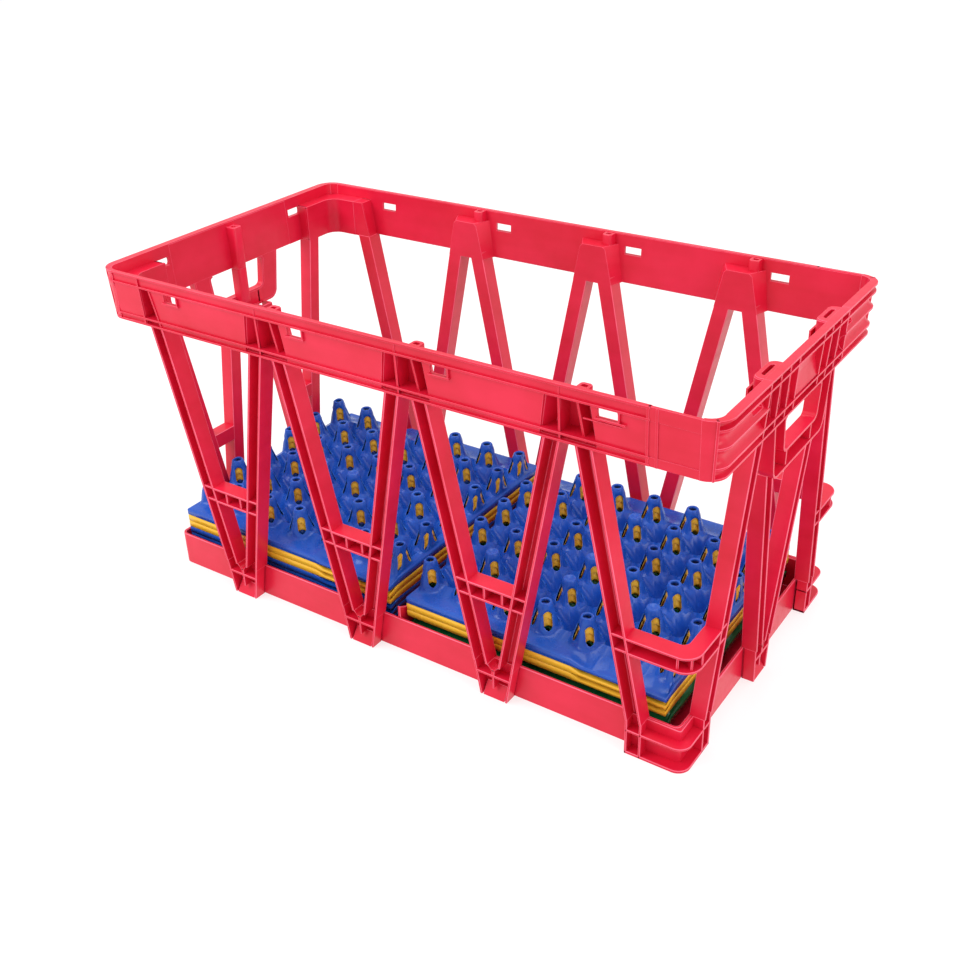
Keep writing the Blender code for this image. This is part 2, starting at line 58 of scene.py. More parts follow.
# ---- sizes of the mouldings ---------------------------------------------------------------
WALL = 0.0028
RIB = 0.0022
OVERLAP = 0.001              # how far one body reaches into the next
TUCK = 0.0008                # how far a body's face stays behind the one it meets
HAIR = 0.0003                # the same, where the two barely differ
SHARP = math.radians(38)     # edges above this angle are rounded and given the lighter edge colour, a painted highlight
DRAFT = 0.0028               # how far the band's foot steps in from its top
CORNER = 0.0195              # plan radius of the rim
LONG_FLANGE = 0.0048
LONG_GROOVE = 0.0021
SHORT_FLANGE = 0.0084
SHORT_GROOVE = 0.0058
SHORT_PLATE = 0.0026
LEDGE = 0.0019
LONG_LEDGES = (0.0, 0.0103, 0.0436, 0.0503)
SHORT_LEDGES = (0.0, 0.0079, 0.0238, 0.0411, 0.0503)
LONG_FLARE = 0.0073
SHORT_FLARE = 0.0250
LONG_DEPTH = 0.0140
LONG_DEPTH_GAIN = 0.0028     # the long sides' struts are this much deeper at the band
SHORT_DEPTH = 0.0130

PITCH = 0.1633
APEXES = [-0.2847 + PITCH * k for k in range(4)]
LONG_INNER = 0.0069
LONG_OUTER = 0.0231
LONG_SLOPE = 0.199
SHORT_HALF = 0.0078
RIGHT_INNER = (0.00335, 0.179)
RIGHT_OUTER = (0.1320, -0.165)
LEFT_INNER = (0.0659, -0.155)
LEFT_OUTER = (0.0708, 0.158)
TIE_BOTTOM = 0.1123
TIE_TOP = 0.1291
TIE_MIDDLE = (TIE_BOTTOM + TIE_TOP) / 2
TIE_CORNERS = (0.0070, 0.0165)   # a corner tie's plan radius inside and outside
FOOT_CORNER = 0.0130
FOOT_HALF = 0.0152
FOOT_MEET = 0.0345           # where the struts' inner flanges meet over a foot
FOOT_SHELF = (0.0256, 0.0280)
RIDGE_HALF = 0.0016
FRAME_BOTTOM = 0.2507
FRAME_BAR = 0.0160
FRAME_REAR = {"right": 0.3237, "left": 0.3288}
BLOCK_TOP = HEIGHT - 0.0118  # top of the blocks behind the band
POST_HALF = 0.0064
POST_FACE = 0.3186           # inner face of the left hand hole's post
LINING_END = 0.1108          # where the left corners' lining meets the outer struts

LONG_SLOTS = (-0.2419, -0.0807, 0.0807, 0.2419)
SHORT_SLOT = 0.1031
SLOT_HALF = 0.0095
SLOT = (HEIGHT - 0.0215, HEIGHT - 0.0129)
PANEL_START = 0.2765         # the flush panel before the right-hand corners
CORNER_RIB = math.radians(37)

# Over an apex: left and right edges at the foot and the head, and the chamfer between them.
TUB_REAR = ((-LONG_OUTER, LONG_OUTER), (-0.0150, 0.0150), 0.0030)
TUB_FRONT = ((-0.0282, 0.0282), (-0.0222, 0.0222), HAIR)
LEDGE_HALVES = (0.0220, 0.0268)
WEB_RIB = (-0.0085, -0.0066)             # the upright rib over an apex
STRUT_RIB = ((0.0066, 0.0086), (0.0138, 0.0158))     # the slanted one, at its head and foot
KNOB = (0.0065, 0.0175)
KNOB_POCKET = (0.55, 0.40, 0.0045)
POST_POCKET = (0.45, 0.40, 0.0040)
HUMP = (0.0486, 0.0884)                  # where a hump inside the right-hand band starts and ends
HUMP_RADIUS = 0.0070
GRIP_HALF = 0.0286                       # half the length of the right-hand side's grip slope
HUMP_POCKET = (0.58, 0.34, 0.0070)

CAMERA_PLACE = (0.63105, -0.90552, 0.75183)
CAMERA_AZIMUTH = math.radians(35.001)
CAMERA_ELEVATION = math.radians(29.673)
CAMERA_ROLL = math.radians(-1.819)
CAMERA_LENS = 44.685

SIDES = {
    "front": lambda along, out, z: Vector((along, -out, z)),
    "back": lambda along, out, z: Vector((along, out, z)),
    "right": lambda along, out, z: Vector((out, along, z)),
    "left": lambda along, out, z: Vector((-out, along, z)),
}
LONG_SIDES = ("front", "back")


def wall_out(side, z):
    """Distance from the middle of the crate to the outer face of a side's wall."""
    if side in LONG_SIDES:
        return BASE_Y + LONG_FLARE * z
    return BASE_X + SHORT_FLARE * z


def channel_depth(side, z):
    """Depth of a strut's channel at a height."""
    if side in LONG_SIDES:
        return LONG_DEPTH + LONG_DEPTH_GAIN * z / BAND_BOTTOM
    return SHORT_DEPTH


def draft(drop):
    """How far the band has stepped in at a drop below its top."""
    return DRAFT * drop / (HEIGHT - BAND_BOTTOM)


def drafted(distance):
    """A face at a distance out at the band's top that follows its draft."""
    return lambda z: distance - draft(HEIGHT - z)


# ---- materials ----------------------------------------------------------------------------
def settle(made, **inputs):
    """Sets a node's sockets by name; an underscore stands for a space."""
    for name, value in inputs.items():
        made.inputs[name.replace("_", " ")].default_value = value
    return made


def node(tree, kind, **inputs):
    return settle(tree.nodes.new(kind), **inputs)


def moulded_plastic(name, base, deep, rough, gloss_variation, bump):
    """Glossy moulded plastic: cloudy pigment, flow lines, fine orange peel and scuffs."""
    material = bpy.data.materials.new(name)
    material.use_nodes = True
    tree = material.node_tree
    link = tree.links.new
    shader = settle(tree.nodes["Principled BSDF"], Specular_IOR_Level=0.34)
    place = tree.nodes.new("ShaderNodeTexCoord").outputs["Object"]

    def noise(vector, **inputs):
        made = node(tree, "ShaderNodeTexNoise", **inputs)
        link(vector, made.inputs["Vector"])
        return made.outputs["Fac"]

    def weighted_sum(value, weight, other):
        made = tree.nodes.new("ShaderNodeMath")
        made.operation = "MULTIPLY_ADD"
        made.inputs[1].default_value = weight
        link(value, made.inputs[0])
        link(other, made.inputs[2])
        return made.outputs[0]

    cloud = noise(place, Scale=14.0, Detail=4.0, Roughness=0.55)
    stretch = node(tree, "ShaderNodeMapping", Scale=(6.0, 6.0, 46.0))
    link(place, stretch.inputs["Vector"])
    flow = noise(stretch.outputs["Vector"], Scale=1.6, Detail=2.0)
    tone = tree.nodes.new("ShaderNodeValToRGB")
    for stop, position, colour in zip(tone.color_ramp.elements, (0.42, 0.86), (deep, base)):
        stop.position = position
        stop.color = (*colour, 1.0)
    link(weighted_sum(flow, 0.35, cloud), tone.inputs["Fac"])
    link(tone.outputs["Color"], shader.inputs["Base Color"])

    scuff = noise(place, Scale=95.0, Detail=6.0, Roughness=0.7)
    gloss = node(tree, "ShaderNodeMapRange", From_Min=0.35, From_Max=0.75, To_Min=rough,
                 To_Max=rough + gloss_variation)
    link(scuff, gloss.inputs["Value"])
    link(gloss.outputs["Result"], shader.inputs["Roughness"])

    peel = noise(place, Scale=250.0, Detail=1.0)
    wave = noise(place, Scale=38.0, Detail=1.0)
    relief = node(tree, "ShaderNodeBump", Strength=bump, Distance=0.0004)
    link(weighted_sum(wave, 2.2, peel), relief.inputs["Height"])
    link(relief.outputs["Normal"], shader.inputs["Normal"])
    return material


# Colours are (base, deep) pairs: where the pigment is thin and where it gathers.
RED = moulded_plastic("red_moulding", (0.75, 0.013, 0.052), (0.62, 0.005, 0.026), 0.28, 0.14, 0.035)
# Lighter pink for the faces of the rounded edges: a painted highlight along every edge.
RED_EDGE_HIGHLIGHT = moulded_plastic("red_edge_highlight", (0.93, 0.170, 0.270), (0.84, 0.080, 0.150),
                           0.34, 0.16, 0.035)
TRAY_COLOURS = {
    "blue": ((0.014, 0.105, 0.54), (0.007, 0.058, 0.38)),
    "yellow": ((0.92, 0.56, 0.045), (0.82, 0.43, 0.026)),
    "green": ((0.010, 0.150, 0.045), (0.006, 0.095, 0.030)),
}
# Lighter colours for the sheets' cut edges: a painted highlight along the lips and window edges.
TRAY_EDGE_HIGHLIGHTS = {
    "blue": ((0.05, 0.21, 0.80), (0.03, 0.15, 0.66)),
    "yellow": ((1.00, 0.68, 0.14), (0.92, 0.55, 0.09)),
    "green": ((0.03, 0.26, 0.09), (0.02, 0.18, 0.06)),
}


# ---- mesh helpers -------------------------------------------------------------------------
def loft(bm, rings):
    """Join rings of points into one closed body, capped at both ends."""
    loops = [[bm.verts.new(point) for point in ring] for ring in rings]
    for first, second in zip(loops, loops[1:]):
        count = len(first)
        for i in range(count):
            j = (i + 1) % count
            bm.faces.new((first[i], first[j], second[j], second[i]))
    bm.faces.new(loops[0])
    bm.faces.new(loops[-1])


def loft_open(bm, rings):
    """Join open rows of points into one closed band; the last row joins the first."""
    rows = [[bm.verts.new(point) for point in ring] for ring in rings]
    for first, second in zip(rows, rows[1:] + rows[:1]):
        for i in range(len(first) - 1):
            bm.faces.new((first[i], first[i + 1], second[i + 1], second[i]))
    bm.faces.new([row[0] for row in rows])
    bm.faces.new([row[-1] for row in rows])


def block(bm, side, along, out, height):
    """A box on one side of the crate, from (low, high) pairs."""
    place = SIDES[side]
    corners = ((along[0], out[0]), (along[1], out[0]), (along[1], out[1]), (along[0], out[1]))
    loft(bm, [[place(a, o, z) for a, o in corners] for z in height])


def slab(bm, side, outline, out):
    """A plate in a side's plane, from an (along, height) outline and its (inner, outer) faces.

    An outer or inner face may be a function of the height.
    """
    place = SIDES[side]
    rings = []
    for face in out:
        at = face if callable(face) else (lambda z, f=face: f)
        rings.append([place(a, at(z), z) for a, z in outline])
    loft(bm, rings)


def bar(bm, side, section, along):
    """A bar along a side, from an (out, height) section."""
    place = SIDES[side]
    loft(bm, [[place(a, out, z) for out, z in section] for a in along])


def strip_loft(bm, side, path, thickness, out):
    """A flange on edge: follows an (along, height) path, thick to its left."""
    count = len(path)
    place = SIDES[side]
    rings = []
    for i, (a, z) in enumerate(path):
        first = Vector((a - path[i - 1][0], z - path[i - 1][1])) if i else None
        second = Vector((path[i + 1][0] - a, path[i + 1][1] - z)) if i < count - 1 else None
        first = (first or second).normalized()
        second = (second or first).normalized()
        middle = (first + second).normalized()
        reach = thickness / max(middle.dot(first), 0.3)
        far = (a - middle.y * reach, z + middle.x * reach)
        rings.append([place(a, out[0], z), place(a, out[1], z),
                      place(far[0], out[1], far[1]), place(far[0], out[0], far[1])])
    loft(bm, rings)


def around(middle, half):
    return middle - half, middle + half


def quad(first, first_z, second, second_z):
    """Outline of a plate from its (left, right) edges at two heights."""
    return [(first[0], first_z), (first[1], first_z), (second[1], second_z), (second[0], second_z)]


def arc(centre, radius, start, end, steps=6):
    """Points along an arc, with its angles in degrees."""
    points = []
    for step in range(steps + 1):
        angle = math.radians(start + (end - start) * step / steps)
        points.append((centre[0] + radius * math.cos(angle), centre[1] + radius * math.sin(angle)))
    return points


def hood(centre, foot, head, chamfer, trim):
    """Outline of a block over an apex, from its left and right edges at its foot and head."""
    low = BAND_BOTTOM + trim
    high = BLOCK_TOP - trim
    return [(centre + foot[0] + trim, low), (centre + foot[1] - trim, low),
            (centre + head[1] - trim, high - chamfer), (centre + head[1] - trim - chamfer, high),
            (centre + head[0] + trim + chamfer, high), (centre + head[0] + trim, high - chamfer)]


def tub(bm, side, centre, rear, front, out):
    """A block hollow from the outside; rear and front are (foot, head, chamfer) for hood()."""
    place = SIDES[side]
    layers = ((rear, RIB, out[0] + WALL), (front, RIB, out[1]), (front, 0.0, out[1]),
              (rear, 0.0, out[0]))
    rings = []
    for shape, trim, depth in layers:
        at = depth if callable(depth) else (lambda z, d=depth: d)
        rings.append([place(a, at(z), z) for a, z in hood(centre, *shape, trim)])
    loft(bm, rings)


def hump(bm, side, along, out, height, radius, pocket):
    """A block with rounded inner corners; pocket is (length share, width share, depth)."""
    low, high = along
    inner, outer = out
    plan = [(low, outer), (high, outer)]
    plan += arc((high - radius, inner + radius), radius, 0, -90)
    plan += arc((low + radius, inner + radius), radius, -90, -180)
    middle = ((low + high) / 2, (inner + outer) / 2)
    dent = [(middle[0] + (a - middle[0]) * pocket[0], middle[1] + (o - middle[1]) * pocket[1])
            for a, o in plan]
    soft = [(middle[0] + (a - middle[0]) * 0.95, o + 0.0006 if o < middle[1] else o)
            for a, o in plan]
    layers = ((plan, height[0]), (plan, height[1] - 0.0010), (soft, height[1]),
              (dent, height[1]), (dent, height[1] - pocket[2]))
    place = SIDES[side]
    loft(bm, [[place(a, o, z) for a, o in ring] for ring, z in layers])


def to_mesh(bm, name):
    mesh = bpy.data.meshes.new(name)
    bm.to_mesh(mesh)
    bm.free()
    return mesh


def add_object(name, data):
    made = bpy.data.objects.new(name, data)
    bpy.context.collection.objects.link(made)
    return made


def temporary(bm, name):
    """An object for a Boolean, removed after it."""
    bmesh.ops.recalc_face_normals(bm, faces=bm.faces[:])
    return add_object(name, to_mesh(bm, name))


def carve(bm, cutters):
    """The first mesh with the second one's bodies cut out of it."""
    plate = temporary(bm, "plate")
    tool = temporary(cutters, "tool")
    modifier = plate.modifiers.new("cut", "BOOLEAN")
    modifier.operation = "DIFFERENCE"
    modifier.solver = "EXACT"
    modifier.object = tool
    bpy.context.view_layer.update()
    cut = plate.evaluated_get(bpy.context.evaluated_depsgraph_get())
    result = bmesh.new()
    result.from_mesh(cut.to_mesh())
    cut.to_mesh_clear()
    for old in (plate, tool):
        mesh = old.data
        bpy.data.objects.remove(old)
        bpy.data.meshes.remove(mesh)
    return result


def join(bm, other):
    """Adds the other mesh's bodies to the first."""
    mesh = to_mesh(other, "join")
    bm.from_mesh(mesh)
    bpy.data.meshes.remove(mesh)


def finish_piece(name, bm, cad_node, bevel=0.0006):
    """A named piece of the crate with rounded edges in a lighter pink, a painted highlight, in its
    CAD node's place.
    """
    bmesh.ops.recalc_face_normals(bm, faces=bm.faces[:])
    mesh = to_mesh(bm, name)
    for material in (RED, RED_EDGE_HIGHLIGHT):
        mesh.materials.append(material)
    mesh.shade_smooth()
    mesh.set_sharp_from_angle(angle=SHARP)
    piece = add_object(name, mesh)
    modifier = piece.modifiers.new("edges", "BEVEL")
    modifier.width = bevel
    modifier.segments = 2
    modifier.limit_method = "ANGLE"
    modifier.angle_limit = SHARP
    # The bevel's faces take the second material, the painted edge highlight.
    modifier.material = 1
    modifier.use_clamp_overlap = True
    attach(piece, "crate")
    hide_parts(cad_node)


# ---- base ---------------------------------------------------------------------------------
def rounded_rectangle(half_x, half_y, radius, z):
    steps = 8
    points = []
    for quarter, (sx, sy) in enumerate(((1, 1), (-1, 1), (-1, -1), (1, -1))):
        centre = Vector((sx * (half_x - radius), sy * (half_y - radius), z))
        for step in range(steps + 1):
            angle = math.pi / 2 * (quarter + step / steps)
            points.append(centre + Vector((math.cos(angle), math.sin(angle), 0)) * radius)
    return points


def build_base():
    """The shallow base with its floor, and the swept divider between the stacks."""
    bm = bmesh.new()
    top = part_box("front_strut_1")[0].z - HAIR
    outside = (BASE_X, BASE_Y, 0.008)
    inside = (BASE_X - WALL, BASE_Y - WALL, 0.0052)
    loft(bm, [rounded_rectangle(*size, z)
              for size, z in ((outside, 0), (outside, top), (inside, top), (inside, WALL))])
    end = BASE_Y - WALL * 0.7
    sweep = []
    for step in range(9):
        share = step / 8
        sweep.append((end - 0.032 * (1 - share), 0.042 + 0.0100 * share ** 2.2))
    outline = [(-end, WALL / 2), (end, WALL / 2)] + sweep[::-1] + [(-y, z) for y, z in sweep]
    loft(bm, [[Vector((x, y, z)) for y, z in outline] for x in (-0.0015, 0.0015)])
    finish_piece("base_shell", bm, "base_tray", bevel=0.0007)


# ---- band on the long sides ---------------------------------------------------------------
def ledge_section(edge, flange, top, thickness=LEDGE):
    """Section of a ledge at a drop below the rim, from its edge in to the plate."""
    z = HEIGHT - top
    return [(edge - draft(top), z), (edge - draft(top + thickness), z - thickness),
            (edge - draft(top) - flange, z - thickness), (edge - draft(top) - flange, z)]


def build_long_band(side):
    """Plate with slots, ledges, a flush panel at the right, and a hollow over each apex."""
    end = RIM_X - CORNER
    plate_in = RIM_Y - LONG_FLANGE
    plate_out = RIM_Y - LONG_GROOVE
    through = (plate_in - 0.01, RIM_Y + 0.01)
    below = BAND_BOTTOM - 0.002
    first = APEXES[0]
    plate = bmesh.new()
    slab(plate, side, quad((-end, end), HEIGHT - TUCK, (-end, end), BAND_BOTTOM + TUCK),
         (drafted(plate_in), drafted(plate_out)))
    cutters = bmesh.new()
    for x in LONG_SLOTS:
        block(cutters, side, around(x, SLOT_HALF), through, SLOT)
    for apex in APEXES[1:]:
        slab(cutters, side,
             quad(around(apex, 0.0212), HEIGHT - 0.0126, around(apex, 0.0272), below), through)
    slab(cutters, side, quad((first + 0.0012, first + 0.0145), BLOCK_TOP,
                             (first + 0.0012, first + 0.0225), below), through)
    bm = carve(plate, cutters)

    for top in LONG_LEDGES:
        bar(bm, side, ledge_section(RIM_Y, LONG_FLANGE - HAIR, top), (-end, PANEL_START + 0.002))
    if side == "front":
        bar(bm, side, ledge_section(RIM_Y - 0.0012, 0.0020, 0.0250, 0.0010), (0.220, 0.254))

    flush = bmesh.new()
    buried = drafted(plate_in + 0.0012)
    low_edge = HEIGHT - LONG_LEDGES[2]
    high_edge = HEIGHT - LONG_LEDGES[1] - LEDGE
    for along in ((-end, first), (PANEL_START, end)):
        slab(flush, side, quad(along, high_edge, along, low_edge),
             (buried, drafted(RIM_Y - 0.0011)))
    panel = (PANEL_START, end)
    for low, high in ((high_edge, HEIGHT), (BAND_BOTTOM, low_edge)):
        slab(flush, side, quad(panel, high, panel, low), (buried, drafted(RIM_Y - 0.0006)))
    join(bm, flush)
    for x in (PANEL_START, PANEL_START + 0.0080):
        rib = around(x, RIB / 2)
        slab(bm, side, quad(rib, HEIGHT - TUCK, rib, BAND_BOTTOM),
             (buried, drafted(RIM_Y - 0.0002)))

    back = wall_out(side, BAND_BOTTOM) - WALL
    for apex in APEXES[1:]:
        tub(bm, side, apex, TUB_REAR, TUB_FRONT, (back, drafted(plate_in + OVERLAP)))
        deep_ledges(bm, side, apex, LEDGE_HALVES, back)
        rib = (apex + WEB_RIB[0], apex + WEB_RIB[1])
        slab(bm, side, quad(rib, HEIGHT - 0.0015, rib, BAND_BOTTOM),
             (buried, drafted(RIM_Y - 0.0016)))
        block(bm, side, rib, (back + OVERLAP, plate_in),
              (BAND_BOTTOM + OVERLAP, BLOCK_TOP - OVERLAP))
        head, foot = [(apex + low, apex + high) for low, high in STRUT_RIB]
        slab(bm, side, quad(head, BLOCK_TOP - OVERLAP, foot, BAND_BOTTOM),
             (back + OVERLAP, drafted(RIM_Y - 0.0046)))
        hump(bm, side, (apex + KNOB[0], apex + KNOB[1]), (plate_in - 0.0105, plate_in + OVERLAP),
             (BLOCK_TOP - 0.002, HEIGHT - 0.0006), 0.0032, KNOB_POCKET)
    corner_bay(bm, side, first, back, plate_in)
    for x in LONG_SLOTS:
        slot_lips(bm, side, x, plate_out)
    finish_piece(f"rim_{side}_band", bm, f"rim_{side}", bevel=0.00055)


def deep_ledges(bm, side, centre, halves, back, low=None):
    """The two lower ledges where they reach back to the struts' webs, and the wall between."""
    place = SIDES[side]
    rear, front = [(centre - half if low is None else low, centre + half) for half in halves]
    for top in LONG_LEDGES[2:]:
        edge = RIM_Y - draft(top) - OVERLAP
        z = HEIGHT - top
        plan = [(rear[0], back + OVERLAP), (rear[1], back + OVERLAP), (front[1], edge),
                (front[0], edge)]
        loft(bm, [[place(a, o, level) for a, o in plan]
                  for level in (z - LEDGE + 0.0004, z - 0.0004)])
    wall = RIM_Y - DRAFT - 0.0066
    block(bm, side, (front[0] + OVERLAP, front[1] - OVERLAP), (wall, wall + 0.0015),
          (HEIGHT - LONG_LEDGES[3] - OVERLAP, HEIGHT - LONG_LEDGES[2] - OVERLAP))


def corner_bay(bm, side, first, back, plate_in):
    """The half bay at the left-hand corner, where the first strut starts."""
    slab(bm, side, [(first + OVERLAP, BAND_BOTTOM), (first + LONG_OUTER, BAND_BOTTOM),
                    (first + 0.0150, BLOCK_TOP), (first + OVERLAP, BLOCK_TOP - HAIR)],
         (back + 0.0004, back + WALL - 0.0004))
    lid = (first - 0.003, first + 0.0146)
    slab(bm, side, quad(lid, BLOCK_TOP - RIB, lid, BLOCK_TOP - 0.0007),
         (back + TUCK, plate_in + OVERLAP))
    rib = around(first, RIB / 2)
    slab(bm, side, quad(rib, HEIGHT - 0.0015, rib, BAND_BOTTOM),
         (drafted(plate_in + 0.0012), drafted(RIM_Y - 0.0004)))
    block(bm, side, rib, (back + OVERLAP, plate_in), (BAND_BOTTOM, BLOCK_TOP - OVERLAP))
    slab(bm, side, quad((first + 0.0128, first + 0.0147), BLOCK_TOP - 0.0004,
                        (first + 0.0209, first + 0.0228), BAND_BOTTOM + HAIR),
         (back + TUCK, drafted(RIM_Y - 0.0010)))
    deep_ledges(bm, side, first, (0.0205, 0.0215), back, low=first)


def slot_lips(bm, side, x, face):
    """Raised lip under a slot and up its right-hand edge."""
    low, high = SLOT
    out = (face - 0.0020, face + 0.0012)
    right = x + SLOT_HALF + (0.0065 if x > 0.2 else 0.0018)
    block(bm, side, (x - SLOT_HALF - 0.0012, right), out, (low - 0.0016, low))
    block(bm, side, (x + SLOT_HALF, x + SLOT_HALF + 0.0014), out, (low, high + OVERLAP))


# ---- band on the short sides --------------------------------------------------------------
def ridge_profile(groove, flange, ledges=SHORT_LEDGES):
    """Section of the band: (distance in from the edge, drop), ridges and hollows."""
    points = []
    for top, following in zip(ledges, ledges[1:] + (None,)):
        points.append((draft(top), top))
        points.append((draft(top + LEDGE), top + LEDGE))
        if following is None:
            continue
        gap = following - top - LEDGE
        for step in range(1, 8):
            share = step / 8
            inset = groove * math.sin(math.pi * share) ** 0.62
            drop = top + LEDGE + gap * share
            points.append((draft(drop) + inset, drop))
    points.append((DRAFT + flange, ledges[-1] + LEDGE))
    points.append((flange, 0.0))
    return points


def plain_profile(flange):
    """Section of the band where it turns the corner without ridges."""
    foot = HEIGHT - BAND_BOTTOM
    return [(HAIR, 0.0), (draft(foot) + HAIR, foot), (DRAFT + flange, foot), (flange, 0.0)]


def corner_ring(side, front, angle, profile):
    """A section of the band at an angle round a corner; 0 faces the long side."""
    sx = 1 if side == "right" else -1
    sy = -1 if front else 1
    ring = []
    for inset, drop in profile:
        radius = CORNER - inset
        ring.append(Vector((sx * (RIM_X - CORNER + radius * math.sin(angle)),
                            sy * (RIM_Y - CORNER + radius * math.cos(angle)), HEIGHT - drop)))
    return ring


def build_short_band(side):
    """Ridges that start inside each corner, a plain corner before them, and the middle."""
    bm = bmesh.new()
    low = HUMP[1] if side == "right" else 0.0900
    quarter = math.pi / 2
    widening = SHORT_FLANGE - LONG_FLANGE
    for front in (True, False):
        sign = -1 if front else 1
        steps = 12
        rings = []
        for step in range(steps + 1):
            angle = CORNER_RIB + (quarter - CORNER_RIB) * step / steps
            share = 0.80 + 0.20 * step / steps
            flange = LONG_FLANGE + widening * (
                CORNER_RIB / quarter + (1 - CORNER_RIB / quarter) * step / steps)
            profile = ridge_profile(SHORT_GROOVE * share, flange)
            rings.append(corner_ring(side, front, angle, profile))
        rings.append([SIDES[side](sign * low, RIM_X - inset, HEIGHT - drop)
                      for inset, drop in ridge_profile(SHORT_GROOVE, SHORT_FLANGE)])
        ridges = bmesh.new()
        loft(ridges, rings)
        cutters = bmesh.new()
        block(cutters, side, around(sign * SHORT_SLOT, SLOT_HALF),
              (RIM_X - 0.02, RIM_X + 0.01), SLOT)
        join(bm, carve(ridges, cutters))
        rings = []
        for step in range(7):
            angle = CORNER_RIB * step / 6
            flange = LONG_FLANGE + widening * angle / quarter
            profile = plain_profile(flange)
            if side == "left":
                profile = ridge_profile(0.0011, flange, LONG_LEDGES)
            rings.append(corner_ring(side, front, angle, profile))
        loft(bm, rings)
        foot = HEIGHT - BAND_BOTTOM
        proud = 0.0008 if side == "right" else 0.0
        bead = [(-proud, 0.0), (DRAFT - proud, foot), (0.005 + DRAFT, foot), (0.005, 0.0)]
        loft(bm, [corner_ring(side, front, CORNER_RIB + turn, bead) for turn in (-0.055, 0.055)])
        if side == "left":
            corner_lining(bm, front)
    if side == "right":
        right_middle(bm)
    else:
        left_middle(bm, low)
    finish_piece(f"rim_{side}_band", bm, f"rim_{side}", bevel=0.0008)


def short_plate(z):
    """Distance out to the inner face of the band's plate on a short side."""
    return RIM_X - SHORT_FLANGE - draft(HEIGHT - z)


def corner_lining(bm, front):
    """Plate that carries the struts' webs round a left-hand corner, closed above and below."""
    sign = -1 if front else 1
    back_x = wall_out("left", BAND_BOTTOM) - WALL
    back_y = wall_out("front", BAND_BOTTOM) - WALL
    deep_x = RIM_X - SHORT_FLANGE - back_x
    deep_y = RIM_Y - LONG_FLANGE - back_y
    radius = 0.0140
    stations = [(-APEXES[0] - 0.002, back_y, 0.0, 1.0, deep_y)]
    for step in range(9):
        share = step / 8
        angle = math.pi / 2 * (1 - share)
        c, s = math.cos(angle), math.sin(angle)
        depth = deep_y + (deep_x - deep_y) * share + 0.0055 * math.sin(math.pi * share)
        stations.append((back_x - radius + radius * c, back_y - radius + radius * s, c, s, depth))
    stations.append((back_x, LINING_END, 1.0, 0.0, deep_x))

    def body(low, high, near, reach):
        rings = []
        for x, y, nx, ny, depth in stations:
            far = reach or depth + 0.001
            rings.append([Vector((-(x + nx * out), sign * (y + ny * out), z))
                          for out, z in ((near, low), (far, low), (far, high), (near, high))])
        loft(bm, rings)

    body(BAND_BOTTOM, BLOCK_TOP, 0.0, WALL)
    body(BLOCK_TOP - RIB, BLOCK_TOP - HAIR, TUCK, None)
    body(BAND_BOTTOM + HAIR, BAND_BOTTOM + RIB, TUCK, None)
    low, high = sorted((sign * (LINING_END + HAIR), sign * (LINING_END + RIB)))
    block(bm, "left", (low, high), (back_x + TUCK, RIM_X - SHORT_FLANGE + OVERLAP),
          (BAND_BOTTOM + HAIR, BLOCK_TOP - HAIR))


def middle_plate(bm, side, half, bottom):
    """The band's plate between the ridges of a short side."""
    slab(bm, side, quad((-half, half), HEIGHT - OVERLAP, (-half, half), bottom),
         (short_plate, lambda z: short_plate(z) + SHORT_PLATE))


def right_middle(bm):
    """Ledges, humps, ribs and grip slope between the ridges of the right-hand side."""
    side = "right"
    near, far = HUMP
    plate = RIM_X - SHORT_FLANGE
    for top in (SHORT_LEDGES[0], SHORT_LEDGES[1], SHORT_LEDGES[3], SHORT_LEDGES[4]):
        bar(bm, side, ledge_section(RIM_X, SHORT_FLANGE - 0.0005, top), (-far, far))
    back = wall_out(side, BAND_BOTTOM) - WALL
    middle_plate(bm, side, near, BAND_BOTTOM + OVERLAP)
    # Where each rib stands, how far its foot leans from there, and its rear.
    ribs = ((far, 0.0026, back + 0.009), (0.0686, -0.0010, back + 0.002),
            (near, -0.0020, back + 0.009), (GRIP_HALF, -0.0012, plate))
    for sign in (-1, 1):
        inner, outer = sorted((sign * near, sign * far))
        block(bm, side, (inner, outer), (plate, plate + SHORT_PLATE),
              (HEIGHT - 0.0100, HEIGHT - OVERLAP))
        block(bm, side, (inner + OVERLAP, outer - OVERLAP), (back + OVERLAP, back + WALL),
              (BAND_BOTTOM, BLOCK_TOP))
        hump(bm, side, (inner, outer), (back + 0.0048, plate + OVERLAP),
             (BLOCK_TOP - RIB, HEIGHT - 0.0006), HUMP_RADIUS, HUMP_POCKET)
        skirt(bm, side, (inner, outer), (back, back + 0.0048), (BAND_BOTTOM, BLOCK_TOP - RIB),
              HUMP_RADIUS)
        for place, lean, rear in ribs:
            y = sign * place
            slab(bm, side, quad(around(y, RIB / 2), HEIGHT - 0.0015,
                                around(sign * (place + lean), RIB / 2), BAND_BOTTOM),
                 (plate, drafted(RIM_X - 0.0007)))
            block(bm, side, around(y, RIB / 2), (rear, plate + OVERLAP),
                  (BAND_BOTTOM, BLOCK_TOP - OVERLAP))
    slope = []
    for step in range(7):
        share = step / 6
        drop = SHORT_LEDGES[1] + LEDGE + 0.0305 * share
        slope.append((RIM_X - 0.0078 + 0.0062 * share ** 1.5 - draft(drop), HEIGHT - drop))
    section = slope + [(out - 0.0018, z) for out, z in reversed(slope)]
    bar(bm, side, section, (-GRIP_HALF, GRIP_HALF))


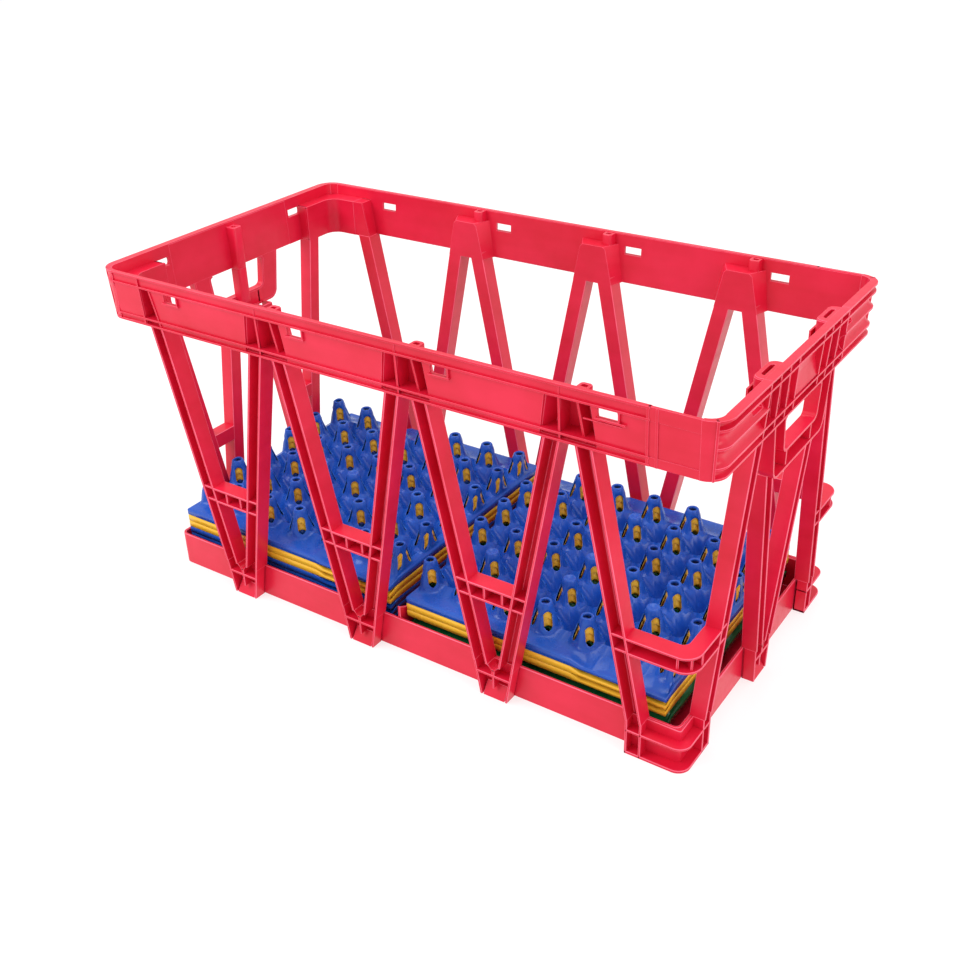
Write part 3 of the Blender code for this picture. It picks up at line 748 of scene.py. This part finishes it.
def skirt(bm, side, along, out, height, radius):
    """The lower part of a hump: a wall with rounded corners that leans out towards its top."""
    place = SIDES[side]
    plate = RIM_X - SHORT_FLANGE
    rings = []
    for inset, levels in ((0.0, (0, 1)), (WALL, (1, 0))):
        for level in levels:
            inner = out[level] + inset
            low, high = along[0] + inset, along[1] - inset
            turn = radius - inset
            plan = [(low, plate), (low, inner + turn)]
            plan += arc((low + turn, inner + turn), turn, 180, 270)
            plan += arc((high - turn, inner + turn), turn, -90, 0) + [(high, plate)]
            rings.append([place(a, o, height[level]) for a, o in plan])
    loft_open(bm, rings)


def left_middle(bm, low):
    """The left-hand side's band between its ridges, with the post's head."""
    for top in SHORT_LEDGES:
        bar(bm, "left", ledge_section(RIM_X, SHORT_FLANGE - 0.0005, top), (-low, low))
    middle_plate(bm, "left", low, BAND_BOTTOM + 0.0005)
    hump(bm, "left", around(0, POST_HALF), (POST_FACE, RIM_X - SHORT_FLANGE + OVERLAP),
         (BAND_BOTTOM + 0.0002, HEIGHT - 0.0050), 0.0030, POST_POCKET)


# ---- struts -------------------------------------------------------------------------------
def strut_ring(side, low, high, z):
    """Section of a strut at a height: a channel that opens outwards."""
    face = wall_out(side, z)
    edge = face + channel_depth(side, z)
    outline = [(low, face - WALL), (high, face - WALL), (high, edge), (high - RIB, edge),
               (high - RIB, face), (low + RIB, face), (low + RIB, edge), (low, edge)]
    place = SIDES[side]
    return [place(along, out, z) for along, out in outline]


def long_edges(apex, direction):
    """A strut's left and right edges at a height, from its apex on a long side."""
    def edges(z):
        shift = LONG_SLOPE * (BAND_BOTTOM - z)
        return sorted((apex + direction * (LONG_INNER + shift),
                       apex + direction * (LONG_OUTER + shift)))
    return edges


def short_edges(line, direction):
    """The same on a short side, from its middle line's start and slope."""
    return lambda z: around(direction * (line[0] + line[1] * z), SHORT_HALF)


def long_struts():
    struts = [long_edges(APEXES[0], 1)]
    for apex in APEXES[1:]:
        struts += [long_edges(apex, -1), long_edges(apex, 1)]
    return struts


def shelves(bm, side, edges, heights):
    """Ribs across a strut's channel, level with a tie or a foot."""
    for low_z, high_z in heights:
        middle = (low_z + high_z) / 2
        low, high = edges(middle)
        face = wall_out(side, middle) - 0.001
        block(bm, side, (low + RIB / 2, high - RIB / 2),
              (face, face + channel_depth(side, middle) + 0.0002), (low_z, high_z))


def build_strut(name, side, edges, top, shelved=True):
    bm = bmesh.new()
    loft(bm, [strut_ring(side, *edges(z), z) for z in (BASE_HEIGHT - HAIR, top)])
    if shelved:
        shelves(bm, side, edges, ((TIE_TOP - RIB, TIE_TOP), (TIE_BOTTOM, TIE_BOTTOM + RIB)))
    finish_piece(name + "_channel", bm, name)


def build_struts():
    top = BAND_BOTTOM + OVERLAP
    for side in LONG_SIDES:
        for number, edges in enumerate(long_struts(), 1):
            build_strut(f"{side}_strut_{number}", side, edges, top)
    under_frame = FRAME_BOTTOM + OVERLAP
    short_lines = {"right": (RIGHT_OUTER, RIGHT_INNER), "left": (LEFT_OUTER, LEFT_INNER)}
    for side, (outer, inner) in short_lines.items():
        plan = ((outer, -1, top), (inner, -1, under_frame), (inner, 1, under_frame),
                (outer, 1, top))
        for number, (line, direction, end) in enumerate(plan, 1):
            build_strut(f"{side}_strut_{number}", side, short_edges(line, direction), end,
                        shelved=side == "left" or line is outer)


# ---- hand holes ---------------------------------------------------------------------------
def mirrored(path):
    """A path from one side's top, carried on to the other side's."""
    return path + [(-a, z) for a, z in reversed(path)]


def build_hand_frame(side):
    """U-shaped channel that hangs under the band and closes the hand hole."""
    bm = bmesh.new()
    top = BAND_BOTTOM + OVERLAP
    bar_top = FRAME_BOTTOM + FRAME_BAR
    rear = FRAME_REAR[side]
    edge = RIM_X - DRAFT - HAIR
    inner = arc((0.0380, top - 0.0050), 0.0050, 90, 0, 4)
    inner += arc((0.0400 - 0.0085, bar_top + 0.0085), 0.0085, 0, -90)
    outer = [(0.0637, top)] + arc((0.0572 - 0.0095, FRAME_BOTTOM + 0.0095), 0.0095, 0, -90)
    strip_loft(bm, side, mirrored(inner), -RIB, (rear, edge))
    strip_loft(bm, side, mirrored(outer), RIB, (rear, edge))
    slab(bm, side, mirrored(inner) + mirrored(outer)[::-1], (rear, rear + WALL))
    for y in (-0.0285, 0.0285):
        block(bm, side, around(y, RIB / 2), (rear, edge - TUCK),
              (FRAME_BOTTOM + OVERLAP, bar_top - OVERLAP))
    if side == "left":
        hump(bm, side, around(0, POST_HALF), (POST_FACE, POST_FACE + 0.0125),
             (bar_top - 0.004, BAND_BOTTOM), 0.0030, POST_POCKET)
    finish_piece(f"hand_frame_{side}_channel", bm, f"hand_frame_{side}")


# ---- ties ---------------------------------------------------------------------------------
def tie_section(depth):
    """Section of a tie as (out, height): a channel that opens outwards."""
    return [(-WALL, TIE_BOTTOM), (depth, TIE_BOTTOM), (depth, TIE_BOTTOM + RIB),
            (0.0, TIE_BOTTOM + RIB), (0.0, TIE_TOP - RIB), (depth, TIE_TOP - RIB),
            (depth, TIE_TOP), (-WALL, TIE_TOP)]


def build_tie(name, side, left_edge, right_edge):
    """A cross-tie between two struts, with upright ribs in its channel."""
    place = SIDES[side]
    bm = bmesh.new()
    middle = TIE_MIDDLE
    depth = channel_depth(side, middle)
    rings = []
    for edge, gap in ((left_edge, -0.0006), (right_edge, 0.0006)):
        rings.append([place(edge(z) + gap, wall_out(side, z) + out, z)
                      for out, z in tie_section(depth)])
    loft(bm, rings)
    low, high = left_edge(middle), right_edge(middle)
    face = wall_out(side, middle)
    for share in (0.34, 0.78):
        x = low + (high - low) * share
        block(bm, side, around(x, RIB / 2), (face - OVERLAP, face + depth - 0.0012),
              (TIE_BOTTOM + OVERLAP, TIE_TOP - OVERLAP))
    finish_piece(name + "_channel", bm, name)


def build_corner_tie(name, long_side):
    """The tie that wraps a right-hand corner between its two struts."""
    sign = -1 if long_side == "front" else 1
    wall_x = wall_out("right", TIE_MIDDLE)
    wall_y = wall_out(long_side, TIE_MIDDLE)
    strut = long_struts()[-1]
    short = short_edges(RIGHT_OUTER, 1)
    bm = bmesh.new()
    long_depth = channel_depth(long_side, TIE_MIDDLE)

    def bend(angle, out, depth):
        """Point in plan at an angle round the corner; the radius grows from inside to outside."""
        share = (out + WALL) / (depth + WALL)
        radius = TIE_CORNERS[0] + (TIE_CORNERS[1] - TIE_CORNERS[0]) * share
        return (wall_x + out - radius * (1 - math.sin(angle)),
                sign * (wall_y + out - radius * (1 - math.cos(angle))))

    rings = [[Vector((strut(z)[1] - 0.0006, sign * (wall_y + out), z))
              for out, z in tie_section(long_depth)]]
    steps = 12
    for step in range(steps + 1):
        angle = math.pi / 2 * step / steps
        depth = long_depth + (SHORT_DEPTH - long_depth) * step / steps
        rings.append([Vector((*bend(angle, out, depth), z)) for out, z in tie_section(depth)])
    rings.append([Vector((wall_x + out, sign * (short(z)[1] - 0.0006), z))
                  for out, z in tie_section(SHORT_DEPTH)])
    loft(bm, rings)
    for angle in (0.0, math.pi / 4, math.pi / 2):
        near = Vector((*bend(angle, -OVERLAP, SHORT_DEPTH), 0))
        far = Vector((*bend(angle, SHORT_DEPTH - OVERLAP, SHORT_DEPTH), 0))
        across = (far - near).cross(Vector((0, 0, 1))).normalized() * RIB / 2
        corners = (near - across, near + across, far + across, far - across)
        loft(bm, [[p + Vector((0, 0, z)) for p in corners]
                  for z in (TIE_BOTTOM + OVERLAP, TIE_TOP - OVERLAP)])
    finish_piece(name + "_channel", bm, name)


def build_ties():
    struts = long_struts()
    for side in LONG_SIDES:
        for number in range(3):
            left, right = struts[2 * number], struts[2 * number + 1]
            build_tie(f"{side}_tie_{number + 1}", side, lambda z, s=left: s(z)[1],
                      lambda z, s=right: s(z)[0])
        build_corner_tie("corner_tie_" + side, side)
    inner = short_edges(LEFT_INNER, 1)
    outer = short_edges(LEFT_OUTER, 1)
    build_tie("left_tie_back", "left", lambda z: inner(z)[1], lambda z: outer(z)[0])
    build_tie("left_tie_front", "left", lambda z: -outer(z)[0], lambda z: -inner(z)[1])


# ---- feet ---------------------------------------------------------------------------------
def build_foot(name, side, centre, left_edges, right_edges):
    """Boxed foot where two struts land: side flanges, shelf, middle rib and a sloped toe."""
    bm = bmesh.new()
    face = wall_out(side, 0)
    edge = face + channel_depth(side, 0.02)
    low = left_edges(BASE_HEIGHT)
    high = right_edges(BASE_HEIGHT)
    top = BASE_HEIGHT + 0.0003
    out = (face + 0.0002, edge)
    slab(bm, side, quad(around(centre, FOOT_HALF), 0.0, (low[0], high[1]), top),
         (out[0], face + 0.0024))
    for sign, strut_out in ((-1, low[0]), (1, high[1])):
        foot = centre + sign * FOOT_HALF
        slab(bm, side, [(foot, 0.0), (strut_out, top), (strut_out - sign * RIB, top),
                        (foot - sign * RIB, 0.0)], out)
    for sign, strut_in in ((-1, low[1]), (1, high[0])):
        slab(bm, side, quad((centre, centre + sign * RIDGE_HALF), FOOT_MEET - OVERLAP,
                            (strut_in + sign * RIB, strut_in), top), out)
    block(bm, side, around(centre, RIDGE_HALF), out, (0.0275, FOOT_MEET))
    spread = FOOT_HALF + (high[1] - centre - FOOT_HALF) * 0.027 / BASE_HEIGHT
    block(bm, side, (centre - spread + OVERLAP, centre + spread - OVERLAP),
          (out[0], edge + 0.0002), FOOT_SHELF)
    block(bm, side, around(centre - TUCK, RIB / 2), (out[0], edge - OVERLAP),
          (0.0110, 0.0265))
    toe = [(out[0], 0.0), (edge - 0.0002, 0.0), (edge - 0.0012, 0.0020), (face + 0.0050, 0.0124),
           (out[0], 0.0128)]
    bar(bm, side, toe, around(centre, FOOT_HALF - 0.0032))
    finish_piece(name + "_box", bm, name)


def build_corner_foot(name, long_side):
    """Foot that wraps a right-hand corner, with flanges that carry on from its two struts."""
    sign = -1 if long_side == "front" else 1
    strut = long_struts()[-1](BASE_HEIGHT)
    short = short_edges(RIGHT_OUTER, 1)(BASE_HEIGHT)
    in_x, in_y = BASE_X, BASE_Y
    out_x = in_x + SHORT_DEPTH
    out_y = in_y + LONG_DEPTH
    radius = FOOT_CORNER

    def plan(start_x, start_y, depth_in, depth_out):
        """Closed plan of a wrapping wall between two depths."""
        points = [(start_x, in_y + depth_in), (in_x + depth_in - 0.004, in_y + depth_in),
                  (in_x + depth_in, in_y + depth_in - 0.004), (in_x + depth_in, start_y)]
        ox, oy = in_x + depth_out, in_y + depth_out * LONG_DEPTH / SHORT_DEPTH
        r = radius - (out_x - ox)
        wrap = [(ox, start_y)]
        for step in range(11):
            angle = math.pi / 2 * step / 10
            wrap.append((ox - r * (1 - math.cos(angle)), oy - r * (1 - math.sin(angle))))
        wrap.append((start_x, oy))
        return points + wrap

    bm = bmesh.new()
    top = BASE_HEIGHT + 0.0003

    def layer(outline, low, high):
        loft(bm, [[Vector((x, sign * y, z)) for x, y in outline] for z in (low, high)])

    for depth, low, high in ((0.0026, 0.0, top), (SHORT_DEPTH, *FOOT_SHELF),
                             (SHORT_DEPTH, 0.0, 0.0030)):
        layer(plan(strut[0], short[0], HAIR, depth), low, high)
    for x in (strut[0], strut[1] - RIB):
        layer([(x, in_y + HAIR), (x + RIB, in_y + HAIR), (x + RIB, out_y), (x, out_y)], 0.0, top)
    for y in (short[0], short[1] - RIB):
        layer([(in_x + HAIR, y), (out_x, y), (out_x, y + RIB), (in_x + HAIR, y + RIB)], 0.0, top)
    finish_piece(name + "_box", bm, name)


def build_feet():
    struts = long_struts()
    for side in LONG_SIDES:
        for number in range(3):
            build_foot(f"{side}_foot_{number + 1}", side, APEXES[number] + PITCH / 2,
                       struts[2 * number], struts[2 * number + 1])
        build_corner_foot("corner_foot_" + side, side)
    build_foot("right_foot", "right", 0.0, short_edges(RIGHT_INNER, -1),
               short_edges(RIGHT_INNER, 1))
    inner = LEFT_INNER[0] + LEFT_INNER[1] * BASE_HEIGHT
    outer = LEFT_OUTER[0] + LEFT_OUTER[1] * BASE_HEIGHT
    centre = (inner + outer) / 2
    build_foot("left_foot_back", "left", centre, short_edges(LEFT_INNER, 1),
               short_edges(LEFT_OUTER, 1))
    build_foot("left_foot_front", "left", -centre, short_edges(LEFT_OUTER, -1),
               short_edges(LEFT_INNER, -1))


# ---- egg trays ----------------------------------------------------------------------------
CELL = 0.0454
HALF = CELL / 2
COLUMNS = 7
ROWS = 6
PEG_TOP = 0.0298
PEG_HIGH = 0.0300            # the CAD peg's height over the lip
SADDLE = 0.0040
CUP = -0.0224
RING = 0.0066                # outer radius of a peg's rim
PEG_FOOT = 0.0150
TRAY_X = 0.1442
TRAY_Y = 0.1455
SKIRT = 0.0073
SHEET = 0.0008
CONE_RADII = (0.0076, 0.0087, 0.0096, 0.0112, 0.0128, 0.0140, PEG_FOOT)
WINDOW_TOP = 1               # window between these cone radii
WINDOW_FOOT = 5
WINDOW_HALF = 0.0047
CONE_SLOPE = 3.25
FILLET = 0.0022
OUTER_SHARES = (0.25, 0.5, 0.75, 0.9, 1.0)
COLUMN_COUNT = 24            # columns of points round a peg, six to a quarter
OPEN_TOP = ((0.0040, 0.0034), (0.0040, 0.0006), (0.0046, 0.0), (0.0059, 0.0), (RING, 0.0007))
CAP = ((0.0014, 0.0016), (0.0034, 0.0010), (0.0046, 0.0001), (0.0059, 0.0001), (RING, 0.0008))
CAPPED = {(0, 4), (0, 2), (-2, 1), (0, 1), (2, 1)}   # pegs with a closed top, by column and row
STEP_START = 0.051           # from here on the long edge is lower, at opposite ends of the two
STEP_DROP = 0.0038


def bowl(x, y):
    """Height of the saddles and cups round a peg, at a point in its square."""
    s = math.cos(math.pi * x / HALF) + math.cos(math.pi * y / HALF)
    if s >= 0:
        return SADDLE + 0.0008 * s
    depth = math.sin(min(-s / 2, 1.0) * math.pi / 2) ** 1.15
    return SADDLE + (CUP - SADDLE) * depth


def tray_height(x, y, out_x, out_y):
    """Height at a point in a peg's square; out_x and out_y mark a side beyond the last peg."""
    cone = PEG_TOP - 0.0008 - (math.hypot(x, y) - RING) * CONE_SLOPE
    beyond_x = out_x and x * out_x > 0
    beyond_y = out_y and y * out_y > 0
    if beyond_x or beyond_y:
        share = max(abs(x) / HALF if beyond_x else 0.0, abs(y) / HALF * 2.2 if beyond_y else 0.0)
        ground = SADDLE * max(0.0, 1 - share)
    else:
        ground = bowl(x, y)
    gap = max(FILLET - abs(cone - ground), 0.0) / FILLET
    return max(cone, ground) + gap * gap * FILLET * 0.25


def warp(value, outward, edge, start):
    """Moves a point beyond the last peg so that the square's side lands on the tray's edge."""
    if not outward or value * outward <= start:
        return value
    share = (value * outward - start) / (HALF - start)
    return outward * (start + (edge - start) * share)


def column_angles(radius):
    """Angles of the points round a peg; four of each quarter's six mark a parallel window."""
    spread = min(math.asin(min(WINDOW_HALF / max(radius, 0.0001), 1.0)), math.radians(38))
    middle = math.pi / 4
    quarter = (0.0, middle - spread, middle - spread * 0.55, middle, middle + spread * 0.55,
               middle + spread)
    return [math.pi / 2 * k + angle for k in range(4) for angle in quarter]


def window_shift(column, ring):
    """How far a window's corners move along the cone, to round its top and foot."""
    shifts = {WINDOW_TOP: (-0.0003, 0.0001, 0.0011), WINDOW_FOOT: (0.0003, -0.0001, -0.0009)}
    offset = abs(column % 6 - 3)
    return shifts[ring][offset] if ring in shifts and offset < 3 else 0.0


def add_peg(bm, cx, cy, out_x, out_y, capped):
    """One peg with its share of the cups round it, as an open sheet."""
    edge_x = TRAY_X - 0.0008 - 3 * CELL
    edge_y = TRAY_Y - 0.0012 - 2.5 * CELL

    def ring(angles, radii, level=None):
        made = []
        for a, r in zip(angles, radii):
            x, y = r * math.cos(a), r * math.sin(a)
            z = tray_height(x, y, out_x, out_y) if level is None else level
            made.append(bm.verts.new((cx + warp(x, out_x, edge_x, 0.0042),
                                      cy + warp(y, out_y, edge_y, 0.0150), z)))
        return made

    tops = CAP if capped else OPEN_TOP
    loops = [ring(column_angles(radius), [radius] * COLUMN_COUNT, PEG_TOP - drop)
             for radius, drop in tops]
    for k, radius in enumerate(CONE_RADII):
        loops.append(ring(column_angles(radius),
                          [radius + window_shift(column, k) for column in range(COLUMN_COUNT)]))
    angles = column_angles(PEG_FOOT)
    for share in OUTER_SHARES:
        radii = []
        for a in angles:
            reach = HALF / max(abs(math.cos(a)), abs(math.sin(a)))
            radii.append(PEG_FOOT + (reach - PEG_FOOT) * share)
        loops.append(ring(angles, radii))
    for k, (inner, outer) in enumerate(zip(loops, loops[1:]), -len(tops)):
        for i in range(COLUMN_COUNT):
            if i % 6 in (1, 2, 3, 4) and WINDOW_TOP <= k < WINDOW_FOOT:
                continue
            j = (i + 1) % COLUMN_COUNT
            bm.faces.new((inner[i], outer[i], outer[j], inner[j]))
    if capped:
        bm.faces.new(loops[0])


def tray_sheet():
    """The folded sheet of a 30-cell tray with its turned-down, stepped edge, lip at z = 0."""
    bm = bmesh.new()
    for i in range(COLUMNS):
        for j in range(ROWS):
            out_x = -1 if i == 0 else 1 if i == COLUMNS - 1 else 0
            out_y = -1 if j == 0 else 1 if j == ROWS - 1 else 0
            add_peg(bm, (i - 3) * CELL, (j - 2.5) * CELL, out_x, out_y, (i - 3, j) in CAPPED)
    bmesh.ops.remove_doubles(bm, verts=bm.verts[:], dist=0.00002)
    limit_x = TRAY_X - 0.0009
    limit_y = TRAY_Y - 0.0013
    rim = [e for e in bm.edges if len(e.link_faces) == 1
           and all(abs(v.co.x) > limit_x or abs(v.co.y) > limit_y for v in e.verts)]
    for inset, drop in ((0.0003, 0.0003), (0.0, 0.0013), (0.0, SKIRT)):
        made = bmesh.ops.extrude_edge_only(bm, edges=rim)
        fresh = [v for v in made["geom"] if isinstance(v, bmesh.types.BMVert)]
        for v in fresh:
            if abs(v.co.x) > limit_x:
                v.co.x = math.copysign(TRAY_X - inset, v.co.x)
            if abs(v.co.y) > limit_y:
                v.co.y = math.copysign(TRAY_Y - inset, v.co.y)
            v.co.z = -drop
        rim = [e for e in made["geom"] if isinstance(e, bmesh.types.BMEdge)]
    for v in bm.verts:
        near_edge = abs(v.co.y) > TRAY_Y - 0.0130
        side = -1 if v.co.y < 0 else 1
        if near_edge and v.co.x * -side > STEP_START and v.co.z > -SKIRT + 0.0001:
            v.co.z = max(v.co.z - STEP_DROP, -SKIRT + 0.0004)
    bmesh.ops.recalc_face_normals(bm, faces=bm.faces[:])
    if sum(f.normal.z for f in bm.faces) < 0:
        bmesh.ops.reverse_faces(bm, faces=bm.faces[:])
    return bm


def build_trays():
    """One mesh for each colour, shared by the trays that have it."""
    source = to_mesh(tray_sheet(), "tray_sheet")
    source.shade_smooth()
    source.set_sharp_from_angle(angle=math.radians(48))
    meshes = {}
    stacks = {"left": ("blue", "blue", "blue", "yellow", "yellow", "blue"),
              "right": ("green", "yellow", "yellow", "blue")}
    for colour, (base, deep) in TRAY_COLOURS.items():
        mesh = source.copy()
        mesh.name = f"{colour}_tray_sheet"
        mesh.materials.append(moulded_plastic(f"{colour}_moulding", base, deep, 0.20, 0.14, 0.08))
        # The second material, on the shell's rim faces, is the painted edge highlight.
        mesh.materials.append(moulded_plastic(f"{colour}_edge_highlight", *TRAY_EDGE_HIGHLIGHTS[colour], 0.30,
                                              0.18, 0.08))
        meshes[colour] = mesh
    bpy.data.meshes.remove(source)
    for side, colours in stacks.items():
        for number, colour in enumerate(colours, 1):
            name = f"{side}_tray_{number}"
            low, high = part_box(name)
            piece = add_object(f"{name}_sheet", meshes[colour])
            piece.location = ((low.x + high.x) / 2, 0.0, high.z - PEG_HIGH)
            shell = piece.modifiers.new("shell", "SOLIDIFY")
            shell.thickness = SHEET
            shell.offset = -1.0
            shell.use_even_offset = False
            # The rim faces take the painted edge highlight.
            shell.material_offset_rim = 1
            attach(piece, name)
            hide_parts(name)


# ---- stage --------------------------------------------------------------------------------
def area_light(name, place, aim, size, energy):
    data = bpy.data.lights.new(name, "AREA")
    data.shape = "RECTANGLE"
    data.size, data.size_y = size
    data.energy = energy
    lamp = add_object(name, data)
    lamp.location = place
    lamp.rotation_mode = "QUATERNION"
    lamp.rotation_quaternion = (Vector(aim) - Vector(place)).to_track_quat("-Z", "Y")


def build_stage():
    """A pale floor, a white world that lights the object less than it shows, and three lights."""
    white = (1.0, 1.0, 1.0, 1.0)
    bm = bmesh.new()
    half = 30.0
    bm.faces.new([bm.verts.new((x, y, 0.0)) for x, y in
                  ((-half, -half), (half, -half), (half, half), (-half, half))])
    mesh = to_mesh(bm, "floor")
    paper = bpy.data.materials.new("pale_floor")
    paper.use_nodes = True
    settle(paper.node_tree.nodes["Principled BSDF"], Base_Color=(0.32, 0.32, 0.32, 1.0),
           Emission_Color=white, Emission_Strength=0.72, Roughness=0.85, Specular_IOR_Level=0.1)
    mesh.materials.append(paper)
    add_object("floor", mesh)

    world = bpy.data.worlds.new("studio")
    world.use_nodes = True
    tree = world.node_tree
    seen = settle(tree.nodes["Background"], Color=white, Strength=1.0)
    fill = node(tree, "ShaderNodeBackground", Color=white, Strength=0.88)
    path = tree.nodes.new("ShaderNodeLightPath")
    mix = tree.nodes.new("ShaderNodeMixShader")
    for source, target in ((path.outputs["Is Camera Ray"], mix.inputs["Fac"]),
                           (fill.outputs["Background"], mix.inputs[1]),
                           (seen.outputs["Background"], mix.inputs[2]),
                           (mix.outputs["Shader"], tree.nodes["World Output"].inputs["Surface"])):
        tree.links.new(source, target)
    bpy.context.scene.world = world
    bpy.context.scene.view_settings.view_transform = "Standard"
    area_light("key", (-1.25, -1.35, 1.75), (-0.1, 0, 0.2), (1.4, 1.1), 27.0)
    area_light("side", (2.3, -0.4, 1.3), (0.1, 0, 0.2), (1.2, 1.0), 14.0)
    area_light("top", (0.2, 0.6, 2.6), (0, 0, 0.1), (1.8, 1.4), 20.0)


def build_camera():
    """The photograph's view, from its azimuth, elevation, roll, place and lens."""
    level = math.cos(CAMERA_ELEVATION)
    back = Vector((math.sin(CAMERA_AZIMUTH) * level, -math.cos(CAMERA_AZIMUTH) * level,
                   math.sin(CAMERA_ELEVATION)))
    right = (-back).cross(Vector((0, 0, 1))).normalized()
    up = right.cross(-back)
    axis_x = right * math.cos(CAMERA_ROLL) + up * math.sin(CAMERA_ROLL)
    axis_y = up * math.cos(CAMERA_ROLL) - right * math.sin(CAMERA_ROLL)
    data = bpy.data.cameras.new("camera")
    data.sensor_width = 36.0
    data.lens = CAMERA_LENS
    data.clip_start = 0.05
    data.clip_end = 100.0
    camera = add_object("camera", data)
    turn = Matrix((axis_x, axis_y, back)).transposed()
    camera.matrix_world = Matrix.Translation(CAMERA_PLACE) @ turn.to_4x4()
    bpy.context.scene.camera = camera


def main():
    build_camera()
    build_stage()
    build_base()
    for side in LONG_SIDES:
        build_long_band(side)
    for side in ("right", "left"):
        build_short_band(side)
        build_hand_frame(side)
    build_struts()
    build_ties()
    build_feet()
    build_trays()


main()
